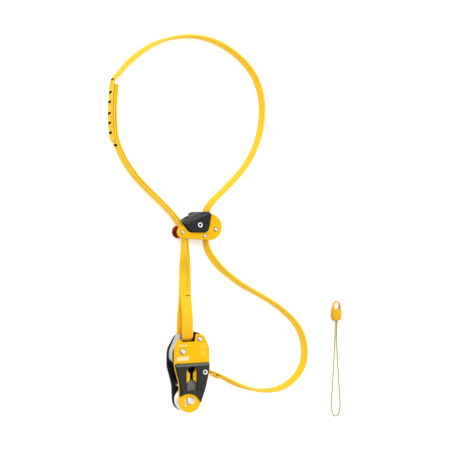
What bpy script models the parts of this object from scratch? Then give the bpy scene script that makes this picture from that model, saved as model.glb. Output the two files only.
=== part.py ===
"""A retrievable, adjustable strap anchor for work at height, laid out flat on a table.

One yellow webbing strap makes a choker loop. A cam adjuster with two side plates grips
the strap and sets the size of the loop. The doubled leg of the strap ends in an eye, which
a silver release hook holds inside a pulley frame, and the tail of the strap is sewn round
a pin in the same frame. A teardrop on a thin cord lies beside it and works the trigger.

Sizes and places are in millimetres and become metres as each mesh is made. The origin is
the middle of the pulley frame's back face, +Y runs up the leg to the loop and +Z points
out of the frame's front, so the table is the plane Z = 0.
"""

import math

import bmesh
import bpy
from mathutils import Vector

MM = 0.001
GAP = 0.3  # between pieces that touch on the real object

# The strap: flat tubular webbing that lies on its edge, and opens out flat at the eye
STRAP_WIDTH = 17.0
STRAP_THICK = 3.2
STRAP_PITCH = STRAP_THICK + GAP
EYE_WIDTH = 18.8
EYE_THICK = 2.6
STRAP_STEP = 20.0

# The pulley frame
FRAME_PLATE = 3.0
FRAME_GAP = 21.0
FRAME_FRONT = FRAME_PLATE + FRAME_GAP + FRAME_PLATE
FRAME_MID = FRAME_PLATE + FRAME_GAP / 2
COVER_LOW = FRAME_FRONT + GAP
COVER_HIGH = FRAME_FRONT + 4.0
AXLE = (0.0, -50.0)
SHEAVE_R = 19.0
GROOVE_R = 13.5
SHEAVE_WIDE = 15.0
HOOK_PIVOT = (-12.5, 28.8)
TOP_RIVET = (17.1, 47.2)
TAIL_PIN = (24.6, -5.5)
SIDE_PIN = (-14.3, -25.7)
BAR_Y = 51.0
BAR_R = 4.5
EYE_X = -2.9
EYE_SKEW = 1.3  # how far the front and rear layers of the eye sit off to either side
EYE_Y = 53.0
EYE_R = 8.0
TRIGGER_X = 3.8

# The adjuster
ADJ_PLATE = 2.5
ADJ_GAP = 19.0
ADJ_FRONT = ADJ_PLATE + ADJ_GAP + ADJ_PLATE
ADJ_MID = ADJ_PLATE + ADJ_GAP / 2
CAM_AXLE = (17.3, 229.1)
LEFT_RIVET = (-10.8, 217.7)
LOWER_RIVET = (27.1, 211.5)
BOLLARD = (46.5, 221.9)
LEFT_BUSH_R = 4.6
BOLLARD_R = 9.3
CHEEK_LOW = ADJ_FRONT + 0.4
CHEEK_HIGH = ADJ_FRONT + 4.6
LEVER_SINK = 1.2  # depth of the round seat for the axle's flange
STRAP_IN_ADJ = (35.2, 228.0)

# The teardrop on its cord
TEAR_X = 283.6
TEAR_Z = 5.9
CORD_X = 285.1
TEAR_BASE = 64.0
CORD_D = 2.2

# Strap routes: x, y, the strap's mid height, and how far it leans to its right, in degrees.
# This one runs from the adjuster round the loop to the splice.
LOOP_ROUTE = (
    (35.1, 226.4, 12.0, 0.0), (35.3, 239.0, 12.0, 5.0), (35.3, 252.2, 12.0, 14.0),
    (44.0, 265.6, 11.8, 12.0), (57.2, 277.6, 11.0, 10.0), (68.4, 287.4, 10.2, 10.0),
    (87.8, 305.7, 9.2, 9.0), (105.3, 325.0, 8.8, 6.0), (119.3, 346.5, 8.75, 5.0),
    (129.6, 370.0, 8.75, 4.0), (135.9, 395.3, 8.75, 4.0), (138.0, 422.0, 8.75, 4.0),
    (134.4, 449.3, 8.75, 4.0), (123.3, 475.8, 8.75, 4.0), (104.0, 498.0, 8.75, 4.0),
    (79.0, 515.5, 8.75, 4.0), (50.4, 527.6, 8.75, 2.0), (18.7, 532.6, 8.75, -1.0),
    (-13.4, 529.5, 8.75, 0.0), (-44.0, 520.0, 8.75, -9.0), (-71.1, 504.6, 8.75, -12.0),
    (-94.4, 485.1, 8.75, -12.0), (-112.8, 464.4, 8.75, -10.0), (-122.2, 452.9, 8.75, -4.0),
)  # fmt: skip
# The doubled strap: from its fold in the splice to the adjuster's left side
DOUBLED_ROUTE = (
    (-115.5, 446.0, 8.75, 0.0), (-117.0, 438.0, 8.75, 0.0), (-118.6, 413.0, 8.75, 0.0),
    (-118.5, 389.0, 8.75, 0.0), (-116.2, 366.1, 8.75, 0.0), (-109.6, 346.7, 8.75, -1.0),
    (-99.9, 328.6, 8.75, -2.0), (-87.1, 310.9, 8.75, -2.0), (-71.3, 293.8, 8.9, -1.0),
    (-53.3, 277.2, 9.7, 0.0), (-37.0, 261.7, 11.0, 0.0), (-22.4, 246.8, 12.0, 0.0),
)  # fmt: skip
SPLICE_Y = (440.0, 360.0)  # where the loop's sewn end lies on the doubled strap
LEFT_TURN = (68.0, 46.0, 24.0, 4.0)  # where the strap rounds the left bush, in degrees
LEFT_TURN_R = 10.4
LEG_TOP_Y = 213.0
# The tail, from the adjuster's underside to the frame's right side
TAIL_ROUTE = (
    (35.0, 226.1, 12.0, 0.0), (34.4, 214.0, 12.0, -2.0), (33.4, 204.6, 12.0, -6.0),
    (39.0, 187.0, 11.0, -13.0), (51.3, 169.8, 10.2, -16.0), (66.0, 155.4, 9.4, -15.0),
    (84.5, 141.3, 8.8, -13.0), (103.4, 129.0, 8.75, -11.0), (124.1, 117.8, 8.75, -9.0),
    (143.4, 107.4, 8.75, -8.0), (162.7, 95.8, 8.75, -8.0), (180.9, 82.5, 8.75, -8.0),
    (197.2, 67.6, 8.75, -8.0), (209.4, 51.0, 8.75, -7.0), (216.2, 33.3, 8.75, -6.0),
    (218.8, 14.8, 8.75, -5.0), (216.6, -2.6, 8.75, -4.0), (209.3, -18.1, 8.75, -4.0),
    (197.1, -31.4, 8.75, -5.0), (181.2, -41.0, 8.75, -5.0), (164.8, -45.8, 8.75, -4.0),
    (147.6, -46.8, 8.75, -2.0), (129.4, -45.0, 8.75, 0.0), (110.7, -40.2, 8.9, 7.0),
    (92.0, -33.1, 9.9, 14.0), (73.9, -24.2, 11.2, 16.0), (57.8, -15.4, 12.2, 11.0),
    (44.6, -8.4, 13.2, 3.0),
)  # fmt: skip
TAIL_EYE_R = 5.6

# Colours: base colour, roughness, metallic
YELLOW_PLATE = ((0.95, 0.56, 0.02), 0.38, 0.55)
RED_PLATE = ((0.52, 0.08, 0.02), 0.35, 0.75)
BLACK_PLATE = ((0.02, 0.02, 0.022), 0.4, 0.5)
BLACK_PLASTIC = ((0.045, 0.045, 0.05), 0.55, 0.0)
STEEL = ((0.72, 0.72, 0.74), 0.28, 1.0)
DARK_STEEL = ((0.12, 0.12, 0.13), 0.4, 0.9)
SILVER = ((0.78, 0.77, 0.75), 0.3, 1.0)
PALE_ALLOY = ((0.86, 0.86, 0.87), 0.3, 0.9)
WEBBING = ((0.93, 0.58, 0.03), 0.8, 0.0)
CORD = ((0.86, 0.72, 0.22), 0.75, 0.0)
YELLOW_PLASTIC = ((0.93, 0.55, 0.02), 0.42, 0.0)


def clear_scene():
    for obj in list(bpy.data.objects):
        bpy.data.objects.remove(obj)


def paint(obj, look, name):
    """Gives the object the material of that name, made on its first use."""
    mat = bpy.data.materials.get(name)
    if mat is None:
        mat = bpy.data.materials.new(name)
        mat.use_nodes = True
        shader = mat.node_tree.nodes["Principled BSDF"]
        colour, roughness, metallic = look
        shader.inputs["Base Color"].default_value = (*colour, 1.0)
        shader.inputs["Roughness"].default_value = roughness
        shader.inputs["Metallic"].default_value = metallic
    obj.data.materials.append(mat)


def add_object(name, data, look, look_name, pivot=(0.0, 0.0, 0.0)):
    obj = bpy.data.objects.new(name, data)
    obj.location = Vector(pivot) * MM
    bpy.context.scene.collection.objects.link(obj)
    if look is not None:
        paint(obj, look, look_name)
    return obj


def mesh_from(bm, name, pivot=(0.0, 0.0, 0.0), smooth_angle=35.0):
    """Turns a bmesh in millimetres into a mesh in metres whose origin is the pivot."""
    bmesh.ops.recalc_face_normals(bm, faces=bm.faces)
    shift = Vector(pivot)
    for vert in bm.verts:
        vert.co = (vert.co - shift) * MM
    mesh = bpy.data.meshes.new(name)
    bm.to_mesh(mesh)
    bm.free()
    mesh.shade_smooth()
    mesh.set_sharp_from_angle(angle=math.radians(smooth_angle))
    return mesh


def arc(cx, cy, radius, start, end, steps):
    """Points on a circle from one angle to another, in degrees."""
    points = []
    for i in range(steps + 1):
        angle = math.radians(start + (end - start) * i / steps)
        points.append((cx + radius * math.cos(angle), cy + radius * math.sin(angle)))
    return points


def rounded(corners, degrees_a_step=15.0):
    """An outline from corners (x, y, radius), each turned with an arc of its radius."""
    count = len(corners)
    spots = [Vector(corner[:2]) for corner in corners]
    halves = []
    wanted = []
    for i, (_, _, radius) in enumerate(corners):
        before = spots[i - 1] - spots[i]
        after = spots[(i + 1) % count] - spots[i]
        halves.append(max(before.angle(after) / 2, 0.01))
        wanted.append(radius / math.tan(halves[i]))
    points = []
    for i, spot in enumerate(spots):
        reach = wanted[i]
        if reach < 0.02:
            points.append(tuple(spot))
            continue
        for j in (i - 1, (i + 1) % count):
            room = 0.999 * (spots[j] - spot).length
            reach = min(reach, wanted[i] * room / max(room, wanted[i] + wanted[j]))
        before = (spots[i - 1] - spot).normalized()
        after = (spots[(i + 1) % count] - spot).normalized()
        radius = reach * math.tan(halves[i])
        centre = spot + (before + after).normalized() * (radius / math.sin(halves[i]))
        first = spot + before * reach - centre
        last = spot + after * reach - centre
        cross = first.x * last.y - first.y * last.x
        turn = math.atan2(cross, first.dot(last))
        steps = max(1, round(abs(math.degrees(turn)) / degrees_a_step))
        begin = math.atan2(first.y, first.x)
        for k in range(steps + 1):
            angle = begin + turn * k / steps
            x = centre.x + radius * math.cos(angle)
            y = centre.y + radius * math.sin(angle)
            points.append((x, y))
    tidy = []
    for point in points:
        if not tidy or math.dist(point, tidy[-1]) > 0.05:
            tidy.append(point)
    if math.dist(tidy[0], tidy[-1]) < 0.05:
        tidy.pop()
    return tidy


def prism(outline, low, high):
    """A bmesh of the outline extruded from low to high."""
    bm = bmesh.new()
    bottom = [bm.verts.new((x, y, low)) for x, y in outline]
    top = [bm.verts.new((x, y, high)) for x, y in outline]
    bm.faces.new(list(reversed(bottom)))
    bm.faces.new(top)
    count = len(outline)
    for i in range(count):
        j = (i + 1) % count
        bm.faces.new((bottom[i], bottom[j], top[j], top[i]))
    return bm


def slice_off(bm, point, normal):
    """Cuts away what lies beyond the plane, and closes the cut with one face."""
    everything = bm.verts[:] + bm.edges[:] + bm.faces[:]
    cut = bmesh.ops.bisect_plane(
        bm, geom=everything, dist=0.001, plane_co=point, plane_no=normal, clear_outer=True
    )
    rim = [item for item in cut["geom_cut"] if isinstance(item, bmesh.types.BMEdge)]
    bmesh.ops.edgeloop_fill(bm, edges=rim)


def hide_tool(tool):
    tool.hide_render = True
    tool.display_type = "WIRE"


def boolean(obj, tool, operation):
    cut = obj.modifiers.new(f"{operation.lower()} {tool.name}", "BOOLEAN")
    cut.operation = operation
    cut.object = tool
    hide_tool(tool)


def cut_outline(obj, outline, low, high, label):
    tool = add_object(f"{obj.name}_{label}", mesh_from(prism(outline, low, high), label), None, None)
    boolean(obj, tool, "DIFFERENCE")


def drill(obj, holes, low, high):
    """Cuts round holes (x, y, radius) along Z."""
    for number, (x, y, radius) in enumerate(holes):
        cut_outline(obj, arc(x, y, radius, 0, 345, 23), low, high, f"hole{number}")


def bevel_edges(obj, width, segments=1, angle=40.0):
    bevel = obj.modifiers.new("edge", "BEVEL")
    bevel.width = width * MM
    bevel.segments = segments
    bevel.limit_method = "ANGLE"
    bevel.angle_limit = math.radians(angle)
    bevel.harden_normals = False


def plate(name, outline, low, high, look, look_name, edge=0.4, pivot=(0.0, 0.0, 0.0)):
    obj = add_object(name, mesh_from(prism(outline, low, high), name, pivot), look, look_name, pivot)
    if edge:
        bevel_edges(obj, edge)
    return obj


def turned(name, profile, place, look, look_name, steps=20, closed=False):
    """A round piece about Z at place (x, y). The profile (radius, z) runs down the outside."""
    mesh = bpy.data.meshes.new(name)
    points = [(radius * MM, 0.0, z * MM) for radius, z in profile]
    edges = [(i, i + 1) for i in range(len(points) - 1)]
    if closed:
        edges.append((len(points) - 1, 0))
    mesh.from_pydata(points, edges, [])
    obj = add_object(name, mesh, look, look_name, (*place, 0.0))
    screw = obj.modifiers.new("turn", "SCREW")
    screw.steps = steps
    screw.render_steps = steps
    screw.use_merge_vertices = True
    screw.merge_threshold = 0.00001
    screw.use_smooth_shade = True
    return obj


def pin(name, place, shaft, head, low, shoulder, top, look, look_name, dome=0.5):
    """A rivet whose head stands on the shoulder; its other end is flush."""
    rim = head - 0.7
    profile = (
        (0.0, top), (rim * 0.6, top), (rim, top - dome * 0.5), (head, top - dome - 0.2),
        (head, shoulder), (shaft, shoulder), (shaft, low), (0.0, low),
    )  # fmt: skip
    return turned(name, profile, place, look, look_name)


def hollow_pin(name, place, shaft, head, shoulder, top, bore, floor):
    """A pin with a flat flange and a blind hole down its middle."""
    profile = (
        (0.0, floor), (bore, floor), (bore, top), (head - 0.4, top), (head, top - 0.4),
        (head, shoulder), (shaft, shoulder), (shaft, 0.3), (0.0, 0.3),
    )  # fmt: skip
    return turned(name, profile, place, PALE_ALLOY, "pale_alloy")


def ring(name, place, outer, inner, low, high, look, look_name, edge=0.3, steps=20):
    profile = (
        (outer - edge, high), (outer, high - edge), (outer, low + edge), (outer - edge, low),
        (inner, low), (inner, high),
    )  # fmt: skip
    return turned(name, profile, place, look, look_name, steps, closed=True)


def catmull(p0, p1, p2, p3, t):
    return 0.5 * (
        2 * p1
        + (p2 - p0) * t
        + (2 * p0 - 5 * p1 + 4 * p2 - p3) * t * t
        + (3 * p1 - p0 - 3 * p2 + p3) * t * t * t
    )


def smooth_route(points, step):
    """Evenly spaced points on a smooth curve through the route's points (x, y, z, lean)."""
    route = [Vector(p) for p in points]
    ends = [2 * route[0] - route[1], *route, 2 * route[-1] - route[-2]]
    dense = []
    for i in range(len(route) - 1):
        for k in range(24):
            dense.append(catmull(*ends[i : i + 4], k / 24))
    dense.append(route[-1])
    travelled = [0.0]
    for a, b in zip(dense, dense[1:]):
        travelled.append(travelled[-1] + (b - a).to_3d().length)
    count = max(2, round(travelled[-1] / step))
    even = []
    at = 0
    for k in range(count + 1):
        wanted = travelled[-1] * k / count
        while at < len(dense) - 2 and travelled[at + 1] < wanted:
            at += 1
        share = (wanted - travelled[at]) / (travelled[at + 1] - travelled[at])
        even.append(dense[at].lerp(dense[at + 1], min(1.0, share)))
    return even


def offset_route(points, distance):
    """The route moved sideways in the XY plane, to its right-hand side as it runs."""
    moved = []
    for i, point in enumerate(points):
        along = points[min(i + 1, len(points) - 1)] - points[max(i - 1, 0)]
        side = Vector((along.y, -along.x)).normalized()
        moved.append(Vector((point.x + side.x * distance, point.y + side.y * distance, *point[2:])))
    return moved


def strap(name, points, width=STRAP_WIDTH, thick=STRAP_THICK):
    """A flat strap on its edge along the points: a curve with a round-edged flat section."""
    curve = bpy.data.curves.new(name, "CURVE")
    curve.dimensions = "3D"
    curve.twist_mode = "Z_UP"
    curve.fill_mode = "FULL"
    curve.use_fill_caps = True
    curve.extrude = (width - thick) / 2 * MM
    curve.bevel_depth = thick / 2 * MM
    curve.bevel_resolution = 2
    spline = curve.splines.new("POLY")
    spline.points.add(len(points) - 1)
    for target, point in zip(spline.points, points):
        target.co = (*(point.to_3d() * MM), 1.0)
        target.tilt = math.radians(point.w)
    return add_object(name, curve, WEBBING, "webbing")


def round_cord(name, points, diameter):
    curve = bpy.data.curves.new(name, "CURVE")
    curve.dimensions = "3D"
    curve.use_fill_caps = True
    curve.bevel_depth = diameter / 2 * MM
    curve.bevel_resolution = 2
    spline = curve.splines.new("POLY")
    spline.points.add(len(points) - 1)
    for target, point in zip(spline.points, points):
        target.co = (*(point * MM), 1.0)
    return add_object(name, curve, CORD, "thin_cord")


def coil(name, centre, radius, wire, low, turns, pitch, look, look_name, axis="Z"):
    """A wire helix that starts at low and rises along its axis."""
    points = []
    for k in range(round(turns * 9) + 1):
        angle = 2 * math.pi * k / 9
        rise = low + pitch * k / 9
        flat = (radius * math.cos(angle), radius * math.sin(angle))
        if axis == "Z":
            points.append(Vector((centre[0] + flat[0], centre[1] + flat[1], rise)))
        else:
            points.append(Vector((centre[0] + flat[0], rise, centre[1] + flat[1])))
    spring = round_cord(name, points, wire)
    spring.data.bevel_resolution = 0
    spring.data.materials.clear()
    paint(spring, look, look_name)
    return spring


def smoothstep(low, high, value):
    share = min(1.0, max(0.0, (value - low) / (high - low)))
    return share * share * (3 - 2 * share)


# The pulley frame


FRAME_RIGHT = (
    (13.0, -69.0, 19.0), (27.7, -31.0, 45.0), (33.9, 2.0, 60.0), (33.9, 33.0, 24.0),
    (23.5, 55.7, 12.0),
)  # fmt: skip
FRONT_LEFT = ((-26.4, 38.0, 14.0), (-26.6, 6.0, 16.0), (-18.6, -24.0, 34.0), (-19.0, -69.0, 19.0))
FRONT_NOTCH = (
    (10.4, 55.7, 3.0), (8.6, 43.6, 1.5), (-11.9, 43.6, 2.0), (-18.6, 49.6, 2.2),
)  # fmt: skip
REAR_LEFT = ((-29.4, 30.0, 22.0), (-29.8, 4.0, 18.0), (-21.5, -26.0, 30.0), (-19.4, -69.0, 19.0))
REAR_TOP = ((-14.5, 55.7, 15.0),)
PIN_FIT = 0.35


def frame_plates():
    back_outline = rounded(REAR_LEFT + FRAME_RIGHT + REAR_TOP)
    front_outline = rounded(FRONT_LEFT + FRAME_RIGHT + FRONT_NOTCH)
    front_low = FRAME_FRONT - FRAME_PLATE
    back = plate("frame_rear_plate", back_outline, 0.0, FRAME_PLATE, BLACK_PLATE, "black_plate")
    front = plate(
        "frame_front_plate", front_outline, front_low, FRAME_FRONT, YELLOW_PLATE, "yellow_plate"
    )
    holes = (
        (*AXLE, 4.0 + PIN_FIT), (*HOOK_PIVOT, 3.0 + PIN_FIT), (*TOP_RIVET, 2.6 + PIN_FIT),
        (*SIDE_PIN, 1.6 + PIN_FIT), (*TAIL_PIN, 3.3 + PIN_FIT),
    )  # fmt: skip
    drill(back, holes, -1.0, FRAME_PLATE + 1.0)
    drill(front, holes, front_low - 1.0, FRAME_FRONT + 1.0)
    keyhole = arc(2.8, 0.0, 7.0, -62.0, 244.0, 20) + [
        (-0.2, -17.0), (-6.5, -22.5), (-6.5, -36.0), (12.5, -36.0), (12.5, -22.5), (6.1, -17.0),
    ]  # fmt: skip
    cut_outline(front, keyhole, front_low - 1.0, FRAME_FRONT + 1.0, "keyhole")


# The cover's sloping facets: a point of the fold on its face, and the facet's outward normal
COVER_FACETS = (
    ((0.0, 5.2), (0.0, 0.36, 1.0)),
    ((30.5, -6.0), (0.48, -0.14, 1.0)),
    ((-22.6, -8.0), (-0.42, -0.12, 1.0)),
)


def frame_cover():
    """The black moulding over the lower front, with an arched window and a concave lower edge."""
    sides = (
        (26.9, -31.0, 45.0), (33.1, 2.0, 60.0), (33.1, 9.2, 1.6), (-25.3, 9.7, 1.6),
        (-25.7, 6.0, 6.0), (-17.9, -24.0, 32.0),
    )  # fmt: skip
    dome = arc(-3.9, -61.9, 23.5, 126.0, 21.0, 14)
    outline = rounded(sides + tuple((x, y, 0.0) for x, y in dome))
    shell = prism(outline, COVER_LOW, COVER_HIGH)
    for point, normal in COVER_FACETS:
        slice_off(shell, (*point, COVER_HIGH), normal)
    cover = add_object("frame_cover", mesh_from(shell, "cover"), BLACK_PLASTIC, "black_moulding")
    bevel_edges(cover, 0.6)
    window = rounded(((-7.3, -34.6, 1.6), (11.6, -34.6, 1.6), (11.6, 4.4, 9.0), (-7.3, 4.4, 9.0)))
    cut_outline(cover, window, COVER_LOW - 1.0, COVER_HIGH + 1.0, "window")
    drill(cover, ((*TAIL_PIN, 5.0),), COVER_LOW - 1.0, COVER_HIGH + 1.0)


def release_hook():
    """The silver lever: it turns on its pivot, and its bar carries the eye of the strap."""
    pivot = (*HOOK_PIVOT, 0.0)
    low, high = 5.6, FRAME_GAP - 0.4
    body = rounded(
        (
            (-15.2, 55.3, 3.0), (-27.8, 29.0, 18.0), (-28.0, 14.0, 12.0), (-18.8, 4.6, 2.5),
            (-13.8, 7.4, 2.0), (-12.0, 18.0, 6.0), (-5.0, 22.0, 7.0), (-5.2, 36.0, 5.0),
            (-14.4, 37.4, 1.0), (-14.4, 55.3, 0.6),
        )
    )  # fmt: skip
    hook = plate("release_hook", body, low, high, SILVER, "forged_hook", 0.8, pivot)
    bar = bmesh.new()
    sections = (
        (-17.0, BAR_R - 0.6), (-13.6, BAR_R), (7.4, BAR_R), (9.2, BAR_R - 0.7), (9.8, BAR_R - 1.8),
    )  # fmt: skip
    rings = []
    for x, radius in sections:
        circle = arc(BAR_Y, FRAME_MID, radius, 0.0, 337.5, 15)
        rings.append([bar.verts.new((x, y, z)) for y, z in circle])
    for first, second in zip(rings, rings[1:]):
        for k in range(16):
            j = (k + 1) % 16
            bar.faces.new((first[k], first[j], second[j], second[k]))
    bar.faces.new(rings[0])
    bar.faces.new(rings[-1])
    tool = add_object("release_hook_bar", mesh_from(bar, "bar", pivot), None, None, pivot)
    boolean(hook, tool, "UNION")
    drill(hook, ((*HOOK_PIVOT, 3.0 + PIN_FIT),), low - 1.0, high + 1.0)


def strap_keeper():
    """A black block round the top spacer, which the bar's tip closes against."""
    outline = rounded(
        (
            (10.9, 57.0, 1.6), (10.9, 41.5, 2.0), (17.0, 39.5, 5.0), (23.8, 41.5, 6.0),
            (23.8, 52.0, 6.0), (16.5, 57.0, 2.0),
        )
    )  # fmt: skip
    keeper = plate(
        "strap_keeper", outline, FRAME_PLATE + GAP, FRAME_FRONT - FRAME_PLATE - GAP, BLACK_PLASTIC,
        "black_moulding", 0.6,
    )  # fmt: skip
    drill(keeper, ((*TOP_RIVET, 4.3),), 0.0, FRAME_FRONT)


def frame_pins():
    low = 0.3
    face = FRAME_FRONT + GAP
    pin("sheave_axle", AXLE, 4.0, 6.1, low, face, face + 2.4, STEEL, "steel", 0.7)
    pin("hook_pivot_pin", HOOK_PIVOT, 3.0, 4.2, low, face, face + 1.7, STEEL, "steel")
    pin("top_rivet", TOP_RIVET, 2.6, 3.6, low, face, face + 1.7, STEEL, "steel")
    turned(
        "side_pin",
        ((0.0, 26.6), (1.6, 26.6), (1.6, 0.4), (0.0, 0.4)),
        SIDE_PIN,
        STEEL,
        "steel",
        16,
    )
    inside = (FRAME_PLATE + GAP, FRAME_FRONT - FRAME_PLATE - GAP)
    ring("top_spacer", TOP_RIVET, 4.0, 2.9, *inside, STEEL, "steel")
    ring("side_spacer", SIDE_PIN, 2.7, 1.9, *inside, STEEL, "steel", 0.2, 20)
    hollow_pin("tail_anchor_pin", TAIL_PIN, 3.3, 4.0, face, COVER_HIGH + 0.6, 1.5, 18.0)


def sheave_set():
    half = SHEAVE_WIDE / 2
    bore = 8.3
    groove = [
        (bore, FRAME_MID + half), (SHEAVE_R - 0.6, FRAME_MID + half), (SHEAVE_R, FRAME_MID + half - 0.6),
        (SHEAVE_R, FRAME_MID + half - 1.2),
    ]  # fmt: skip
    for x, z in arc(SHEAVE_R, FRAME_MID, half - 1.2, 90.0, 270.0, 8)[1:-1]:
        groove.append((SHEAVE_R - (SHEAVE_R - x) * (SHEAVE_R - GROOVE_R) / (half - 1.2), z))
    groove += [
        (SHEAVE_R, FRAME_MID - half + 1.2), (SHEAVE_R, FRAME_MID - half + 0.6),
        (SHEAVE_R - 0.6, FRAME_MID - half), (bore, FRAME_MID - half),
    ]  # fmt: skip
    turned("sheave", groove, AXLE, PALE_ALLOY, "pale_alloy", 32, closed=True)
    ring("sheave_bearing_outer", AXLE, 8.0, 6.6, FRAME_MID - 5.5, FRAME_MID + 5.5, STEEL, "steel")
    ring("sheave_bearing_inner", AXLE, 6.2, 4.3, FRAME_MID - 6.0, FRAME_MID + 6.0, DARK_STEEL, "dark_steel")
    rear = (FRAME_PLATE + GAP, FRAME_MID - half - GAP)
    front = (FRAME_MID + half + GAP, FRAME_FRONT - FRAME_PLATE - GAP)
    ring("sheave_washer_rear", AXLE, 8.6, 4.4, *rear, BLACK_PLASTIC, "black_moulding")
    ring("sheave_washer_front", AXLE, 8.6, 4.4, *front, BLACK_PLASTIC, "black_moulding")


def trigger():
    """The housing behind the window, and the slider that the teardrop pushes up."""
    housing_outline = rounded(
        (
            (-16.0, -19.0, 2.0), (22.0, -19.0, 3.0), (17.2, -7.0, 2.0), (17.2, 1.6, 2.0),
            (-20.0, 1.6, 2.0),
        )
    )  # fmt: skip
    housing = plate(
        "trigger_housing", housing_outline, FRAME_PLATE + GAP, 11.6, BLACK_PLASTIC, "black_moulding", 0.6
    )
    stop = mesh_from(prism(((8.0, -1.8), (13.4, -1.8), (13.4, 1.4), (8.0, 1.4)), 10.0, 18.0), "stop")
    boolean(housing, add_object("trigger_housing_stop", stop, None, None), "UNION")

    pivot = (TRIGGER_X, -26.0, 22.5)
    left, right = TRIGGER_X - 7.0, TRIGGER_X + 7.0
    house = ((left, -35.2), (right, -35.2), (right, -22.6), (TRIGGER_X, -17.4), (left, -22.6))
    slider = plate(
        "trigger_slider", house, 21.4, FRAME_FRONT - FRAME_PLATE - GAP, DARK_STEEL, "grey_slider", 0.5, pivot
    )
    lug = prism(((-0.6, -24.0), (12.6, -24.0), (12.6, -21.6), (-0.6, -21.6)), 12.2, 21.9)
    lug_tool = add_object("trigger_slider_lug", mesh_from(lug, "lug", pivot), None, None, pivot)
    boolean(slider, lug_tool, "UNION")

    rod = bmesh.new()
    bottom = [rod.verts.new((x, -21.3, z)) for x, z in arc(TRIGGER_X, 17.2, 1.6, 0, 330, 11)]
    top = [rod.verts.new((x, -0.4, z)) for x, z in arc(TRIGGER_X, 17.2, 1.6, 0, 330, 11)]
    for k in range(12):
        j = (k + 1) % 12
        rod.faces.new((bottom[k], bottom[j], top[j], top[k]))
    rod.faces.new(bottom)
    rod.faces.new(top)
    add_object("trigger_rod", mesh_from(rod, "rod", pivot), BLACK_PLATE, "black_plate", pivot)
    coil("trigger_spring", (10.6, 14.6), 2.2, 0.7, -20.7, 9.0, 2.0, STEEL, "steel", axis="Y")
    coil("hook_spring", HOOK_PIVOT, 4.3, 0.8, 3.85, 1.5, 0.85, STEEL, "steel")


# The adjuster


ADJ_OUTLINE = (
    (-20.4, 208.4, 9.6), (36.1, 205.0, 40.0), (57.1, 204.6, 21.0), (57.1, 247.1, 21.0),
    (33.4, 247.3, 2.5), (31.4, 238.6, 3.0), (12.0, 237.4, 6.0), (-2.0, 228.2, 8.0),
    (-20.4, 227.2, 9.2),
)  # fmt: skip


def adjuster_plates():
    outline = rounded(ADJ_OUTLINE)
    back = plate("adjuster_rear_plate", outline, 0.0, ADJ_PLATE, RED_PLATE, "red_plate")
    front = plate(
        "adjuster_front_plate", outline, ADJ_FRONT - ADJ_PLATE, ADJ_FRONT, YELLOW_PLATE, "yellow_plate"
    )
    holes = (
        (*CAM_AXLE, 3.2 + PIN_FIT), (*LEFT_RIVET, 2.2 + PIN_FIT), (*LOWER_RIVET, 1.9 + PIN_FIT),
        (*BOLLARD, 2.3 + PIN_FIT),
    )  # fmt: skip
    drill(back, holes, -1.0, ADJ_PLATE + 1.0)
    drill(front, holes, ADJ_FRONT - ADJ_PLATE - 1.0, ADJ_FRONT + 1.0)


def adjuster_pins():
    inside = (ADJ_PLATE + GAP, ADJ_FRONT - ADJ_PLATE - GAP)
    face = ADJ_FRONT + GAP
    ring("left_guide_bush", LEFT_RIVET, LEFT_BUSH_R, 2.5, *inside, DARK_STEEL, "dark_steel")
    ring("lower_guide_bush", LOWER_RIVET, 3.5, 2.2, *inside, DARK_STEEL, "dark_steel", 0.3, 24)
    ring("clamp_bollard", BOLLARD, BOLLARD_R, 2.7, *inside, STEEL, "steel")
    pin("left_rivet", LEFT_RIVET, 2.2, 2.9, 0.3, face, face + 1.3, STEEL, "steel")
    pin("lower_rivet", LOWER_RIVET, 1.9, 2.7, 0.3, face, face + 1.3, STEEL, "steel")
    pin("bollard_rivet", BOLLARD, 2.3, 3.0, 0.3, face, face + 1.3, STEEL, "steel")


# The lever's cheek, clockwise from its left tip, and where its two sloping facets fold
LEVER_OUTLINE = (
    (-15.6, 237.2), (-5.6, 242.6), (12.8, 250.2), (33.0, 250.2), (37.8, 245.8), (34.6, 228.4),
    (32.2, 220.4), (26.8, 216.6), (3.0, 217.0), (-2.6, 220.2), (-11.4, 231.2),
)  # fmt: skip
RAMP_FOLD = (0.5, 232.9)
ROOF_FOLD = (-2.2, 239.35)
LEVER_CHAMFER = 1.4


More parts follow.
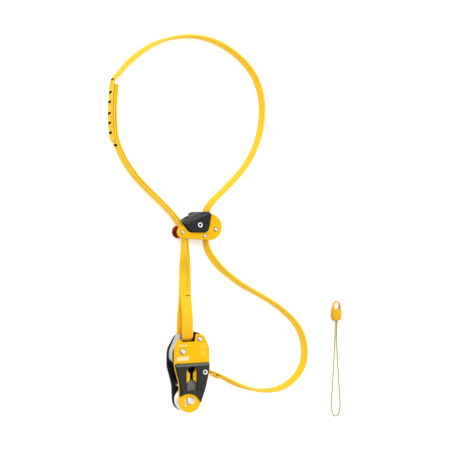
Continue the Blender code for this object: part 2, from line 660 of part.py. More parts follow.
def cam_set():
    """The clamping cam, its hollow axle, its spring and the lever that frees it."""
    x, y = CAM_AXLE
    pivot = (x, y, 0.0)
    outline = []
    for degrees in range(-30, 78, 6):
        radius = 15.9 - 0.032 * degrees if degrees <= 0 else 15.9 - 0.055 * degrees
        angle = math.radians(degrees)
        outline.append((x + radius * math.cos(angle), y + radius * math.sin(angle)))
    outline += arc(x, y, 7.6, 118.0, 296.0, 12)
    cam = plate("cam", outline, 4.4, 19.6, STEEL, "cam_steel", 0.3, pivot)
    drill(cam, ((x, y, 3.6),), 3.0, 21.0)
    ring("cam_washer_rear", CAM_AXLE, 6.6, 3.6, ADJ_PLATE + GAP, 4.1, DARK_STEEL, "dark_steel", 0.2, 24)
    coil("cam_spring", CAM_AXLE, 5.0, 0.7, 20.15, 1.0, 0.75, STEEL, "steel")
    flange = CHEEK_HIGH - LEVER_SINK + GAP
    hollow_pin("cam_axle", CAM_AXLE, 3.2, 4.1, flange, flange + 0.9, 1.6, 14.0)

    shell = prism(LEVER_OUTLINE, CHEEK_LOW, CHEEK_HIGH)
    slice_off(shell, (*RAMP_FOLD, CHEEK_HIGH), (-0.0854, 0.2028, 1.0))
    slice_off(shell, (*ROOF_FOLD, CHEEK_HIGH - 1.54), (-0.2134, 0.5069, 1.0))
    count = len(LEVER_OUTLINE)
    for k in range(3, count):
        first, second = Vector(LEVER_OUTLINE[k]), Vector(LEVER_OUTLINE[(k + 1) % count])
        along = (second - first).normalized()
        inward = Vector((along.y, -along.x))
        fold = (first + second) / 2 + inward * LEVER_CHAMFER
        slice_off(shell, (*fold, CHEEK_HIGH), (-inward.x, -inward.y, 0.8))
    lever = add_object(
        "cam_lever", mesh_from(shell, "cam_lever", pivot, 15.0), BLACK_PLASTIC, "black_moulding", pivot
    )
    roof = prism(((6.0, 245.4), (8.5, 248.2), (12.8, 249.9), (22.6, 249.9), (22.6, 246.0)), 3.6, 24.7)
    web = prism(((6.0, 238.6), (16.0, 239.8), (20.4, 245.9), (20.4, 248.0), (7.4, 246.8)), 4.4, 19.6)
    for label, shape in (("roof", roof), ("web", web)):
        tool = add_object(f"cam_lever_{label}", mesh_from(shape, label, pivot), None, None, pivot)
        boolean(lever, tool, "UNION")
    drill(lever, ((x, y, 3.6),), CHEEK_LOW - 1.0, CHEEK_HIGH + 1.0)
    for label, radius, depth in (("step", 8.3, 0.35), ("seat", 5.9, LEVER_SINK)):
        circle = arc(x, y, radius, 0, 350, 35)
        cut_outline(lever, circle, CHEEK_HIGH - depth, CHEEK_HIGH + 1.0, label)
    notch = ((-12.4, 237.6), (-11.2, 242.6), (-7.6, 243.4), (-3.0, 241.6), (-4.6, 239.6))
    cut_outline(lever, notch, CHEEK_LOW + 0.7, CHEEK_HIGH + 1.0, "notch")


# The strap


def strap_loop():
    """The loop, whose sewn end lies on the doubled strap; that strap's two layers; the tail."""
    turn = []
    for degrees in LEFT_TURN:
        angle = math.radians(degrees)
        turn_x = LEFT_RIVET[0] + LEFT_TURN_R * math.cos(angle)
        turn_y = LEFT_RIVET[1] + LEFT_TURN_R * math.sin(angle)
        turn.append((turn_x, turn_y, ADJ_MID, 0.0))
    foot = (LEFT_RIVET[0] + LEFT_TURN_R, LEG_TOP_Y + GAP, ADJ_MID, 0.0)
    inner = smooth_route((*DOUBLED_ROUTE, *turn, foot), STRAP_STEP / 8)
    fine = next(i for i, point in enumerate(inner) if point.y < 262.0)
    outer = offset_route(inner, STRAP_PITCH)
    for name, points in (("strap_doubled_inner", inner), ("strap_doubled_outer", outer)):
        strap(name, thin_out(points[:fine], 6) + thin_out(points[fine + 1 :], 2))
    top, bottom = SPLICE_Y
    beside = offset_route(inner, 2 * STRAP_PITCH + GAP)
    beside = [p for p in beside if bottom - 1.3 < p.y < top]
    sewn = thin_out(beside, 8)
    strap("strap_loop", smooth_route((*LOOP_ROUTE, *(tuple(p) for p in sewn)), STRAP_STEP * 0.8))
    strap("strap_tail", smooth_route(TAIL_ROUTE, STRAP_STEP * 0.8))


def thin_out(points, keep_every):
    """Every so many points of a dense route, with its last point."""
    return points[:-1:keep_every] + [points[-1]]


def ribbon(name, sections, look, look_name):
    """A closed strip through sections (centre, width direction, width, thickness)."""
    bm = bmesh.new()
    rings = []
    for i, (centre, across, width, thick) in enumerate(sections):
        ahead = sections[min(i + 1, len(sections) - 1)][0] - sections[max(i - 1, 0)][0]
        normal = ahead.cross(across).normalized()
        side = (width - thick) / 2
        loop = []
        for sign in (1, -1):
            profile = [(-side / 3, -thick / 2), (side / 3, -thick / 2)]
            for degrees in (-90.0, -30.0, 30.0, 90.0):
                angle = math.radians(degrees)
                profile.append((side + thick / 2 * math.cos(angle), thick / 2 * math.sin(angle)))
            for out, up in profile:
                loop.append(bm.verts.new(centre + across * (sign * out) + normal * (sign * up)))
        rings.append(loop)
    count = len(rings[0])
    for first, second in zip(rings, rings[1:]):
        for k in range(count):
            j = (k + 1) % count
            bm.faces.new((first[k], first[j], second[j], second[k]))
    bm.faces.new(rings[0])
    bm.faces.new(rings[-1])
    return add_object(name, mesh_from(bm, name), look, look_name)


def leg_section(y, sign):
    """One layer of the leg at height y: the pair twists a quarter turn and then parts."""
    turned_by = math.pi / 2 * smoothstep(206.0, 118.0, y)
    flat = smoothstep(206.0, 120.0, y)
    apart = STRAP_PITCH / 2 + 0.35 * smoothstep(212.0, 196.0, y)
    apart += (EYE_R - apart) * smoothstep(124.0, 66.0, y)
    width = STRAP_WIDTH + (EYE_WIDTH - STRAP_WIDTH) * flat
    thick = STRAP_THICK + (EYE_THICK - STRAP_THICK) * flat
    middle_x = LEFT_RIVET[0] + LEFT_TURN_R - STRAP_PITCH / 2
    middle_x += (EYE_X - middle_x) * flat + sign * EYE_SKEW * smoothstep(130.0, 76.0, y)
    middle_z = ADJ_MID + (FRAME_MID - ADJ_MID) * smoothstep(206.0, 100.0, y)
    facing = Vector((-math.cos(turned_by), 0.0, math.sin(turned_by)))
    across = Vector((math.sin(turned_by), 0.0, math.cos(turned_by)))
    centre = Vector((middle_x, y, middle_z)) + facing * (sign * apart)
    return centre, across * sign, width, thick


def strap_leg():
    """The leg and its eye as one strip: down the front, round the hook's bar, up the back."""
    heights = [LEG_TOP_Y]
    while heights[-1] > EYE_Y + 0.1:
        step = 3.0 if 110.0 < heights[-1] < 209.0 else 6.0
        heights.append(max(EYE_Y, heights[-1] - step))
    sections = [leg_section(y, 1) for y in heights]
    for k in range(1, 10):
        share = k / 10
        angle = math.radians(90.0 + 180.0 * share)
        centre = Vector(
            (
                EYE_X + EYE_SKEW * (1.0 - 2.0 * share),
                EYE_Y + EYE_R * math.cos(angle),
                FRAME_MID + EYE_R * math.sin(angle),
            )
        )
        sections.append((centre, Vector((1.0, 0.0, 0.0)), EYE_WIDTH, EYE_THICK))
    for y in reversed(heights):
        centre, across, width, thick = leg_section(y, -1)
        sections.append((centre, -across, width, thick))
    ribbon("strap_leg", sections, WEBBING, "webbing")


def tail_eye():
    """The sewn eye of the tail: round its pin and back along the tail's lower side."""
    tail = smooth_route(TAIL_ROUTE, 4.0)
    start = tail[-1] + Vector((-0.35, 0.2, 0.0, 0.0))
    round_pin = [(px, py, FRAME_MID, 0.0) for px, py in arc(*TAIL_PIN, TAIL_EYE_R, 68.0, 300.0, 10)]
    back = offset_route(tail, -STRAP_PITCH)[-5:]
    sewn = [(point.x, point.y, point.z, -point.w) for point in reversed(back)]
    route = [tuple(start), (35.0, -4.4, FRAME_MID, 0.0), *round_pin, (33.6, -9.6, 13.4, 0.0), *sewn]
    strap("strap_tail_eye", smooth_route(route, 4.0))


# The retrieval teardrop


def teardrop():
    sections = (
        (0.0, 6.4, 4.2), (1.0, 8.0, 5.2), (4.0, 9.6, 5.7), (9.0, 10.1, 5.5), (15.0, 10.0, 4.4),
        (21.0, 9.7, 2.8), (26.0, 8.9, 2.3), (29.6, 7.4, 2.2), (32.0, 5.2, 2.1), (33.6, 2.6, 1.7),
    )  # fmt: skip
    bm = bmesh.new()
    rings = []
    for rise, wide, deep in sections:
        circle = arc(0.0, 0.0, 1.0, 0.0, 345.0, 23)
        spots = [(TEAR_X + wide * cx, TEAR_BASE + rise, TEAR_Z + deep * cz) for cx, cz in circle]
        rings.append([bm.verts.new(spot) for spot in spots])
    for first, second in zip(rings, rings[1:]):
        for k in range(24):
            j = (k + 1) % 24
            bm.faces.new((first[k], first[j], second[j], second[k]))
    bm.faces.new(rings[0])
    bm.faces.new(rings[-1])
    drop = add_object("teardrop", mesh_from(bm, "teardrop"), YELLOW_PLASTIC, "yellow_plastic")
    eye = rounded(((-5.2, 19.4, 2.4), (5.2, 19.4, 2.4), (5.2, 31.4, 5.1), (-5.2, 31.4, 5.1)))
    cut_outline(drop, [(TEAR_X + ex, TEAR_BASE + ey) for ex, ey in eye], -2.0, 20.0, "eye")

    low = CORD_D / 2 + 0.2
    half = (
        (0.3, TEAR_BASE - 0.4, 5.8), (0.6, 56.0, 4.4), (1.4, 46.0, 2.2), (1.7, 34.0, low),
        (2.6, 12.0, low), (4.6, -20.0, low), (7.2, -55.0, low), (8.8, -80.0, low),
        (7.8, -92.0, low), (4.6, -99.4, low), (0.0, -102.0, low),
    )  # fmt: skip
    left = [(CORD_X - dx, cy, cz) for dx, cy, cz in half]
    right = [(CORD_X + dx, cy, cz) for dx, cy, cz in reversed(half[:-1])]
    for run, top, sign in ((left, 0, -1), (right, -1, 1)):
        run[top] = (TEAR_X + sign * 1.3, *run[top][1:])
    left[1] = (TEAR_X - 0.9, *left[1][1:])
    right[-2] = (TEAR_X + 1.7, *right[-2][1:])
    round_cord("teardrop_cord", smooth_route((*left, *right), 5.5), CORD_D)


def main():
    clear_scene()
    frame_plates()
    frame_cover()
    release_hook()
    strap_keeper()
    frame_pins()
    sheave_set()
    trigger()
    adjuster_plates()
    adjuster_pins()
    cam_set()
    strap_loop()
    strap_leg()
    tail_eye()
    teardrop()


main()
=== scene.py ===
"""Looks for a retrievable, adjustable strap anchor laid out flat: its webbing with the
stitching, the anodised plates, the moulded lever and cover, the hook, the rivets, and the
retrieval teardrop on its cord. Points are in millimetres and become metres as each mesh is made.
"""

import math

import bmesh
import bpy
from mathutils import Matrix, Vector


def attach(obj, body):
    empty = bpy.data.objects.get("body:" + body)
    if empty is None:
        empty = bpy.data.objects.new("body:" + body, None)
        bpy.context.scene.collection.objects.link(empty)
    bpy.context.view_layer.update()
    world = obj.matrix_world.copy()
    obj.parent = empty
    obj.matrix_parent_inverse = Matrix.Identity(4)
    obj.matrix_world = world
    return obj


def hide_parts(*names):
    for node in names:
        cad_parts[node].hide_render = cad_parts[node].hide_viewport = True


MM = 0.001
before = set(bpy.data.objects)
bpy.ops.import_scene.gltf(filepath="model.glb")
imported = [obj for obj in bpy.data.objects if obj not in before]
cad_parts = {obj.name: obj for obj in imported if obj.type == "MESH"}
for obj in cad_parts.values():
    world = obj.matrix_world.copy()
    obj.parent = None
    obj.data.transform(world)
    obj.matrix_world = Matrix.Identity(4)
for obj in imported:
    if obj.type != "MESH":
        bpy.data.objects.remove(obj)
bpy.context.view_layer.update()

# Camera, lights and floor, in metres
CAMERA_AIM = (0.068272, 0.228952, 0.012)
CAMERA_AWAY = 1.6
CAMERA_TILT = 25.0  # degrees to the left of straight above
CAMERA_LENS = 78.53
LIGHTS_AIM = (0.05, 0.2, 0.0)
FLOOR = 40.0  # half the floor's side
FLOOR_Z = -0.0006

# The strap
STRAP_WIDTH = 17.0
GAP = 0.3
STRAP_THICK = 3.2
STRAP_PITCH = STRAP_THICK + GAP
PAIRED_THICK = STRAP_PITCH - 0.15  # of the doubled strap's layers, which all but touch
FREE_THICK = 4.6  # of the tube where nothing presses it flat
STRAP_CROWN = 0.12  # how far a face bulges
STRAP_CORNER = 1.36  # most that a section's corner is rounded
STRAP_STEP = 2.5  # between the points of a strap's route
YARN = 0.00105  # width of one yarn in the weave, in metres
LOOP_PRESSED = (10.0, 96.0)  # lengths at a strap's two ends that stay flat
TAIL_PRESSED = (10.0, 18.0)

# Where the doubled strap turns down over the left bush
LEFT_RIVET = (-10.8, 217.7)
LEFT_TURN = (68.0, 46.0, 24.0, 4.0)  # degrees round the bush
LEFT_TURN_R = 10.4
ADJ_MID = 12.0

# The leg and its eye on the frame
LEG_TOP_Y = 213.0
LEG_TWIST_Y = (206.0, 118.0)  # where the quarter turn starts and ends
FRAME_MID = 13.5
EYE_RUN = 0.174  # distance along the leg to the middle of its eye, in metres
EYE_WIDTH = 18.8
EYE_THICK = 2.6
EYE_X = -2.9
EYE_SKEW = 1.3
EYE_Y = 53.0
EYE_R = 8.0

# The tail's eye
TAIL_PIN = (24.6, -5.5)
TAIL_EYE_R = 5.6

# Stitching
SPLICE_Y = (440.0, 360.0)  # between these the loop strap's end is sewn down
SPLICE_TACKS_Y = (453.3, 434.0, 419.1, 402.9, 388.2, 373.4)
LAST_TACK_Y = 353.5
TACK_SIZE = (12.6, 2.8)  # across the strap and along it
TACK_THREAD = 1.0
LEG_TACK_Y = 116.4
LEG_ROW_X = 0.5
LEG_ROW_Y = (168.0, 124.0)
TAIL_TACK_X = 51.4

# The teardrop and its cord
TEAR_X = 283.6
CORD_X = 285.1
TEAR_BASE = 64.0
CORD_D = 2.2

# Pins, rivets and wheels
FRAME_FRONT = 27.0
ADJ_FRONT = 24.0
COVER_HIGH = 31.0
AXLE = (0.0, -50.0)
HOOK_PIVOT = (-12.5, 28.8)
TOP_RIVET = (17.1, 47.2)
SIDE_PIN = (-14.3, -25.7)
CAM_AXLE = (17.3, 229.1)
LOWER_RIVET = (27.1, 211.5)
BOLLARD = (46.5, 221.9)
LEVER_SEAT_Z = 27.4
LEVER_FACE_Z = 28.6
RAMP_FOLD = (0.5, 232.9)
ROOF_FOLD = (-2.2, 239.35)
FACET_ANGLE = 9.0  # between the moulded pieces' facets, past which their edges are sharp
SHEAVE_R = 19.0
GROOVE_R = 13.5
SHEAVE_HALF = 7.5

# Routes of the straps: x, y, height of the strap's middle, and its lean in degrees. A strap
# with a positive lean has its top edge to the right of the way it runs
LOOP_ROUTE = (
    (35.1, 226.4, 12.0, 0.0), (35.3, 239.0, 12.0, 5.0), (35.3, 252.2, 12.0, 14.0),
    (44.0, 265.6, 11.8, 12.0), (57.2, 277.6, 11.0, 10.0), (68.4, 287.4, 10.2, 10.0),
    (87.8, 305.7, 9.2, 9.0), (105.3, 325.0, 8.8, 6.0), (119.3, 346.5, 8.75, 5.0),
    (129.6, 370.0, 8.75, 4.0), (135.9, 395.3, 8.75, 4.0), (138.0, 422.0, 8.75, 4.0),
    (134.4, 449.3, 8.75, 4.0), (123.3, 475.8, 8.75, 4.0), (104.0, 498.0, 8.75, 4.0),
    (79.0, 515.5, 8.75, 4.0), (50.4, 527.6, 8.75, 2.0), (18.7, 532.6, 8.75, -1.0),
    (-13.4, 529.5, 8.75, 0.0), (-44.0, 520.0, 8.75, -9.0), (-71.1, 504.6, 8.75, -12.0),
    (-94.4, 485.1, 8.75, -12.0), (-112.8, 464.4, 8.75, -10.0), (-122.2, 452.9, 8.75, -4.0),
)  # fmt: skip
DOUBLED_ROUTE = (
    (-115.5, 446.0, 8.75, 0.0), (-117.0, 438.0, 8.75, 0.0), (-118.6, 413.0, 8.75, 0.0),
    (-118.5, 389.0, 8.75, 0.0), (-116.2, 366.1, 8.75, 0.0), (-109.6, 346.7, 8.75, -1.0),
    (-99.9, 328.6, 8.75, -2.0), (-87.1, 310.9, 8.75, -2.0), (-71.3, 293.8, 8.9, -1.0),
    (-53.3, 277.2, 9.7, 0.0), (-37.0, 261.7, 11.0, 0.0), (-22.4, 246.8, 12.0, 0.0),
)  # fmt: skip
TAIL_ROUTE = (
    (35.0, 226.1, 12.0, 0.0), (34.4, 214.0, 12.0, -2.0), (33.4, 204.6, 12.0, -6.0),
    (39.0, 187.0, 11.0, -13.0), (51.3, 169.8, 10.2, -16.0), (66.0, 155.4, 9.4, -15.0),
    (84.5, 141.3, 8.8, -13.0), (103.4, 129.0, 8.75, -11.0), (124.1, 117.8, 8.75, -9.0),
    (143.4, 107.4, 8.75, -8.0), (162.7, 95.8, 8.75, -8.0), (180.9, 82.5, 8.75, -8.0),
    (197.2, 67.6, 8.75, -8.0), (209.4, 51.0, 8.75, -7.0), (216.2, 33.3, 8.75, -6.0),
    (218.8, 14.8, 8.75, -5.0), (216.6, -2.6, 8.75, -4.0), (209.3, -18.1, 8.75, -4.0),
    (197.1, -31.4, 8.75, -5.0), (181.2, -41.0, 8.75, -5.0), (164.8, -45.8, 8.75, -4.0),
    (147.6, -46.8, 8.75, -2.0), (129.4, -45.0, 8.75, 0.0), (110.7, -40.2, 8.9, 7.0),
    (92.0, -33.1, 9.9, 14.0), (73.9, -24.2, 11.2, 16.0), (57.8, -15.4, 12.2, 11.0),
    (44.6, -8.4, 13.2, 3.0),
)  # fmt: skip
# Half of the teardrop's cord: distance from its middle line, y and height
CORD_HALF = (
    (0.3, TEAR_BASE - 0.4, 5.8), (0.6, 56.0, 4.4), (1.4, 46.0, 2.2), (1.7, 34.0, 1.3),
    (2.6, 12.0, 1.3), (4.6, -20.0, 1.3), (7.2, -55.0, 1.3), (8.8, -80.0, 1.3),
    (7.8, -92.0, 1.3), (4.6, -99.4, 1.3), (0.0, -102.0, 1.3),
)  # fmt: skip

# ---------------------------------------------------------------- camera, floor and light


def camera():
    """Above the strap anchor, tilted to its left."""
    data = bpy.data.cameras.new("camera")
    data.lens = CAMERA_LENS
    data.sensor_width = 36.0
    data.clip_start = 0.05
    cam = bpy.data.objects.new("camera", data)
    bpy.context.scene.collection.objects.link(cam)
    tilt = math.radians(CAMERA_TILT)
    away = Vector((-math.sin(tilt), 0.0, math.cos(tilt)))
    cam.location = Vector(CAMERA_AIM) + CAMERA_AWAY * away
    cam.rotation_euler = (0.0, -tilt, 0.0)
    bpy.context.scene.camera = cam


def area_light(name, place, aim, size, power):
    """A white round lamp: its size in metres and its power in watts."""
    data = bpy.data.lights.new(name, "AREA")
    data.shape = "DISK"
    data.size = size
    data.energy = power
    light = bpy.data.objects.new(name, data)
    light.location = place
    light.rotation_euler = (Vector(aim) - Vector(place)).to_track_quat("-Z", "Y").to_euler()
    bpy.context.scene.collection.objects.link(light)


def studio():
    """Pale surroundings that are brightest above and behind, two soft lights and a floor."""
    world = bpy.data.worlds.new("studio")
    world.use_nodes = True
    nodes = world.node_tree.nodes
    links = world.node_tree.links
    nodes["Background"].inputs["Color"].default_value = (1.0, 1.0, 1.0, 1.0)
    toward = nodes.new("ShaderNodeVectorMath")
    toward.operation = "DOT_PRODUCT"
    toward.inputs[1].default_value = Vector((0.1, 0.6, 0.75)).normalized()
    links.new(nodes.new("ShaderNodeTexCoord").outputs["Generated"], toward.inputs[0])
    level = nodes.new("ShaderNodeMapRange")
    spans = {"From Min": -0.7, "From Max": 0.9, "To Min": 0.22, "To Max": 1.1}
    for socket, value in spans.items():
        level.inputs[socket].default_value = value
    links.new(toward.outputs["Value"], level.inputs[0])
    links.new(level.outputs[0], nodes["Background"].inputs["Strength"])
    bpy.context.scene.world = world
    bpy.context.scene.view_settings.view_transform = "Standard"
    area_light("key", (-0.5, 1.2, 1.6), LIGHTS_AIM, 1.2, 13.0)
    area_light("fill", (1.4, -0.6, 1.3), LIGHTS_AIM, 1.6, 6.5)
    mesh = bpy.data.meshes.new("floor")
    corners = ((-FLOOR, -FLOOR), (FLOOR, -FLOOR), (FLOOR, FLOOR), (-FLOOR, FLOOR))
    mesh.from_pydata([(x, y, FLOOR_Z) for x, y in corners], [], [(0, 1, 2, 3)])
    floor = bpy.data.objects.new("floor", mesh)
    bpy.context.scene.collection.objects.link(floor)
    # It glows a little, so that it stays pale right across
    look = Look("floor", (0.96, 0.96, 0.96), 0.9)
    look.set("Specular IOR Level", 0.1)
    look.set("Emission Color", (1.0, 1.0, 1.0, 1.0))
    look.set("Emission Strength", 0.3)
    mesh.materials.append(look.mat)


# ---------------------------------------------------------------- materials


class Look:
    """A material and short calls for the nodes that its looks need."""

    def __init__(self, name, colour, roughness, metallic=0.0):
        self.mat = bpy.data.materials.new(name)
        self.mat.use_nodes = True
        self.tree = self.mat.node_tree
        self.shader = self.tree.nodes["Principled BSDF"]
        self.set("Base Color", (*colour, 1.0))
        self.set("Roughness", roughness)
        self.set("Metallic", metallic)
        self.place = self.node("ShaderNodeTexCoord").outputs["Object"]

    def set(self, name, value):
        self.put(self.shader.inputs[name], value)

    def put(self, socket, value):
        if isinstance(value, bpy.types.NodeSocket):
            self.tree.links.new(value, socket)
        else:
            socket.default_value = value

    def node(self, kind, inputs=None, **settings):
        made = self.tree.nodes.new(kind)
        for key, value in settings.items():
            setattr(made, key, value)
        for key, value in (inputs or {}).items():
            self.put(made.inputs[key], value)
        return made

    def math(self, operation, a, b=0.0):
        return self.node("ShaderNodeMath", {0: a, 1: b}, operation=operation).outputs[0]

    def span(self, value, low, high, to_low=0.0, to_high=1.0):
        found = self.node("ShaderNodeMapRange", {0: value, 1: low, 2: high, 3: to_low, 4: to_high})
        return found.outputs[0]

    def noise(self, size_mm, detail=3.0, vector=None, stretch=None):
        vector = self.place if vector is None else vector
        if stretch is not None:
            vector = self.node("ShaderNodeMapping", {"Vector": vector, "Scale": stretch}).outputs[0]
        inputs = {"Vector": vector, "Scale": 1.0 / (size_mm * MM), "Detail": detail}
        return self.node("ShaderNodeTexNoise", inputs).outputs[0]

    def mix(self, factor, a, b):
        a = a if isinstance(a, bpy.types.NodeSocket) else (*a, 1.0)
        b = b if isinstance(b, bpy.types.NodeSocket) else (*b, 1.0)
        return self.node("ShaderNodeMix", {0: factor, 6: a, 7: b}, data_type="RGBA").outputs[2]

    def bump(self, height, depth_mm, strength=1.0, normal=None):
        inputs = {"Height": height, "Distance": depth_mm * MM, "Strength": strength}
        if normal is not None:
            inputs["Normal"] = normal
        found = self.node("ShaderNodeBump", inputs).outputs[0]
        self.set("Normal", found)
        return found

    def upward(self):
        """How far a face looks up: 1 for a level one and 0 for a wall."""
        normal = self.node("ShaderNodeTexCoord").outputs["Normal"]
        return self.node("ShaderNodeSeparateXYZ", {0: normal}).outputs[2]

    def edges(self, radius_mm):
        """1 at an edge and 0 on a face, from how far a rounded normal leans from the face's."""
        soft = self.node("ShaderNodeBevel", {"Radius": radius_mm * MM}, samples=6).outputs[0]
        face = self.node("ShaderNodeNewGeometry").outputs["Normal"]
        inputs = {0: soft, 1: face}
        dot = self.node("ShaderNodeVectorMath", inputs, operation="DOT_PRODUCT").outputs["Value"]
        return self.span(dot, 0.98, 0.8)


def webbing_look(name, colour, shade, lit_edge_colour, deep=None):
    """Woven strap: u runs along it and v across it, both in metres. Deep: painted shade near the
    eye, where the strap turns away under the bar. Lit edge colour: painted light along both edges,
    for the top edge that catches the light. Painted shade fills the weave's valleys, the line where
    each face turns into its edge, the section's corners and the part by the table.
    """
    look = Look(name, colour, 0.75)
    split = look.node("ShaderNodeSeparateXYZ", {0: look.node("ShaderNodeUVMap").outputs[0]})
    u, v = split.outputs[0], split.outputs[1]
    column = look.math("FLOOR", look.math("DIVIDE", v, YARN))
    warp = look.math("ABSOLUTE", look.math("SINE", look.math("MULTIPLY", v, math.pi / YARN)))
    phase = look.math("MULTIPLY", column, math.pi / 2)
    weft = look.math("SINE", look.math("ADD", look.math("MULTIPLY", u, math.pi / YARN), phase))
    weft = look.span(weft, -1.0, 1.0)
    weave = look.math("MULTIPLY", look.math("POWER", warp, 0.6), look.math("POWER", weft, 0.5))
    fuzz = look.noise(0.35, 4.0)
    height = look.math("ADD", weave, look.math("MULTIPLY", fuzz, 0.5))
    look.bump(height, 0.16, 0.5)
    # Painted shade in the weave's valleys
    ground = look.mix(look.span(weave, 0.0, 0.45), shade, colour)
    # Painted shade near the leg's eye, where the strap turns away under the bar
    if deep:
        near_eye = look.math("ABSOLUTE", look.math("SUBTRACT", u, EYE_RUN))
        ground = look.mix(look.span(near_eye, 0.055, 0.008), ground, deep)
    patches = look.span(look.noise(16.0, 4.0), 0.35, 0.7)
    ground = look.mix(look.math("MULTIPLY", patches, 0.15), ground, shade)
    grime = look.span(look.noise(3.0, 5.0), 0.6, 0.8)
    ground = look.mix(look.math("MULTIPLY", grime, 0.25), ground, shade)
    out = look.math("ABSOLUTE", v)
    half = STRAP_WIDTH / 2 * MM
    # Painted light along both edges, for the top edge that catches the light
    ground = look.mix(look.span(out, half * 0.86, half * 0.93), ground, lit_edge_colour)
    # Painted shade along the line where each face turns into its edge
    off_edge_line = look.math("ABSOLUTE", look.math("SUBTRACT", out, half * 0.84))
    edge_line_shade = look.span(off_edge_line, half * 0.055, half * 0.02, 0.0, 0.6)
    ground = look.mix(edge_line_shade, ground, shade)
    # Painted shade on the section's rounded corners, by which way they face
    corner = look.math("ABSOLUTE", look.math("SUBTRACT", look.upward(), 0.6))
    ground = look.mix(look.span(corner, 0.35, 0.1, 0.0, 0.55), ground, shade)
    # Painted shade on the part near the table
    above_table = look.node("ShaderNodeSeparateXYZ", {0: look.place}).outputs[2]
    low = look.span(above_table, 3.5 * MM, 0.5 * MM, 0.0, 0.6)
    look.set("Base Color", look.mix(low, ground, shade))
    look.set("Specular IOR Level", 0.15)
    look.set("Sheen Weight", 0.12)
    look.set("Sheen Roughness", 0.5)
    look.set("Sheen Tint", (1.0, 0.80, 0.3, 1.0))
    return look.mat


def braid_look():
    """Thin cord with two sets of strands that cross, and pale flecks."""
    look = Look("cord_braid", (0.86, 0.72, 0.22), 0.75)
    split = look.node("ShaderNodeSeparateXYZ", {0: look.node("ShaderNodeUVMap").outputs[0]})
    u = look.math("MULTIPLY", split.outputs[0], 2 * math.pi / 0.0024)
    v = look.math("MULTIPLY", split.outputs[1], 2 * math.pi * 4)
    one = look.math("SINE", look.math("ADD", u, v))
    two = look.math("SINE", look.math("SUBTRACT", u, v))
    braid = look.math("MAXIMUM", one, two)
    look.bump(look.math("ADD", braid, look.noise(0.3, 3.0)), 0.12, 0.8)
    fleck = look.span(look.math("SINE", look.math("ADD", u, look.math("MULTIPLY", v, 0.5))), 0.7, 0.9)
    ground = look.mix(look.span(braid, -0.2, 1.0), (0.30, 0.25, 0.06), (0.60, 0.50, 0.13))
    look.set("Base Color", look.mix(look.math("MULTIPLY", fleck, 0.4), ground, (0.40, 0.40, 0.36)))
    look.set("Sheen Weight", 0.2)
    return look.mat


def anodised_look(name, colour, deep, metallic=0.45, bare=(0.86, 0.80, 0.66), wear=0.6):
    """Coloured sheet metal with fine grain, scratches and bare spots along its edges."""
    look = Look(name, colour, 0.36, metallic)
    look.set("Specular IOR Level", 0.2)
    clouds = look.noise(9.0, 5.0)
    grain = look.noise(0.5, 3.0, stretch=(1.0, 0.12, 1.0))
    ground = look.mix(look.span(clouds, 0.35, 0.7), deep, colour)
    scratch = look.span(look.noise(1.6, 2.0, stretch=(1.0, 0.04, 1.0)), 0.70, 0.74)
    ground = look.mix(look.math("MULTIPLY", scratch, 0.25), ground, bare)
    rub = look.math("MULTIPLY", look.edges(0.45), look.span(look.noise(2.2, 4.0), 0.42, 0.62))
    look.set("Base Color", look.mix(look.math("MULTIPLY", rub, wear), ground, bare))
    haze = look.span(clouds, 0.3, 0.7, 0.28, 0.42)
    look.set("Roughness", look.math("ADD", haze, look.math("MULTIPLY", grain, 0.08)))
    look.bump(grain, 0.012, 0.6)
    return look.mat


def moulded_look(name, colour, pale, roughness=0.5, stipple=0.05, facets=None, gloss=0.25):
    """Moulded plastic. Facets, if given: painted light colour for slopes that face +y, and painted
    shade colour for steep sides.
    """
    look = Look(name, colour, roughness)
    grit = look.noise(0.45, 4.0)
    patches = look.span(look.noise(11.0, 4.0), 0.35, 0.7)
    ground = look.mix(look.math("MULTIPLY", patches, 0.35), colour, pale)
    rub = look.math("MULTIPLY", look.edges(0.5), look.span(look.noise(1.8, 4.0), 0.35, 0.6))
    ground = look.mix(look.math("MULTIPLY", rub, 0.5), ground, pale)
    if facets:
        lit_slope_colour, side = facets
        normal = look.node("ShaderNodeTexCoord").outputs["Normal"]
        split = look.node("ShaderNodeSeparateXYZ", {0: normal})
        # Painted light on slopes that face +y, uneven in patches
        slope = look.span(split.outputs[1], 0.06, 0.5)
        lit_slope = look.math("MULTIPLY", slope, look.span(look.noise(2.6, 4.0), 0.25, 0.7, 0.55, 1.0))
        ground = look.mix(lit_slope, ground, lit_slope_colour)
        # Painted shade on steep sides, which also reflect less
        steep = look.span(split.outputs[2], 0.80, 0.70)
        ground = look.mix(steep, ground, side)
        look.set("Specular IOR Level", look.math("SUBTRACT", gloss, look.math("MULTIPLY", steep, 0.2)))
    look.set("Base Color", ground)
    look.set("Roughness", look.span(look.noise(5.0, 4.0), 0.3, 0.7, roughness - 0.08, roughness + 0.1))
    look.set("Specular IOR Level", gloss)
    look.bump(grit, stipple, 0.7)
    return look.mat


def metal_look(name, colour, dark, roughness, grain_mm=0.4, stretch=(1.0, 1.0, 0.15), spots=0.25):
    """Plain metal with grain and dull spots."""
    look = Look(name, colour, roughness, 1.0)
    grain = look.noise(grain_mm, 4.0, stretch=stretch)
    tarnish = look.span(look.noise(3.5, 5.0), 0.5, 0.75)
    look.set("Base Color", look.mix(look.math("MULTIPLY", tarnish, spots), colour, dark))
    look.set("Roughness", look.span(grain, 0.3, 0.7, roughness - 0.07, roughness + 0.1))
    look.bump(grain, 0.02, 0.5)
    return look.mat


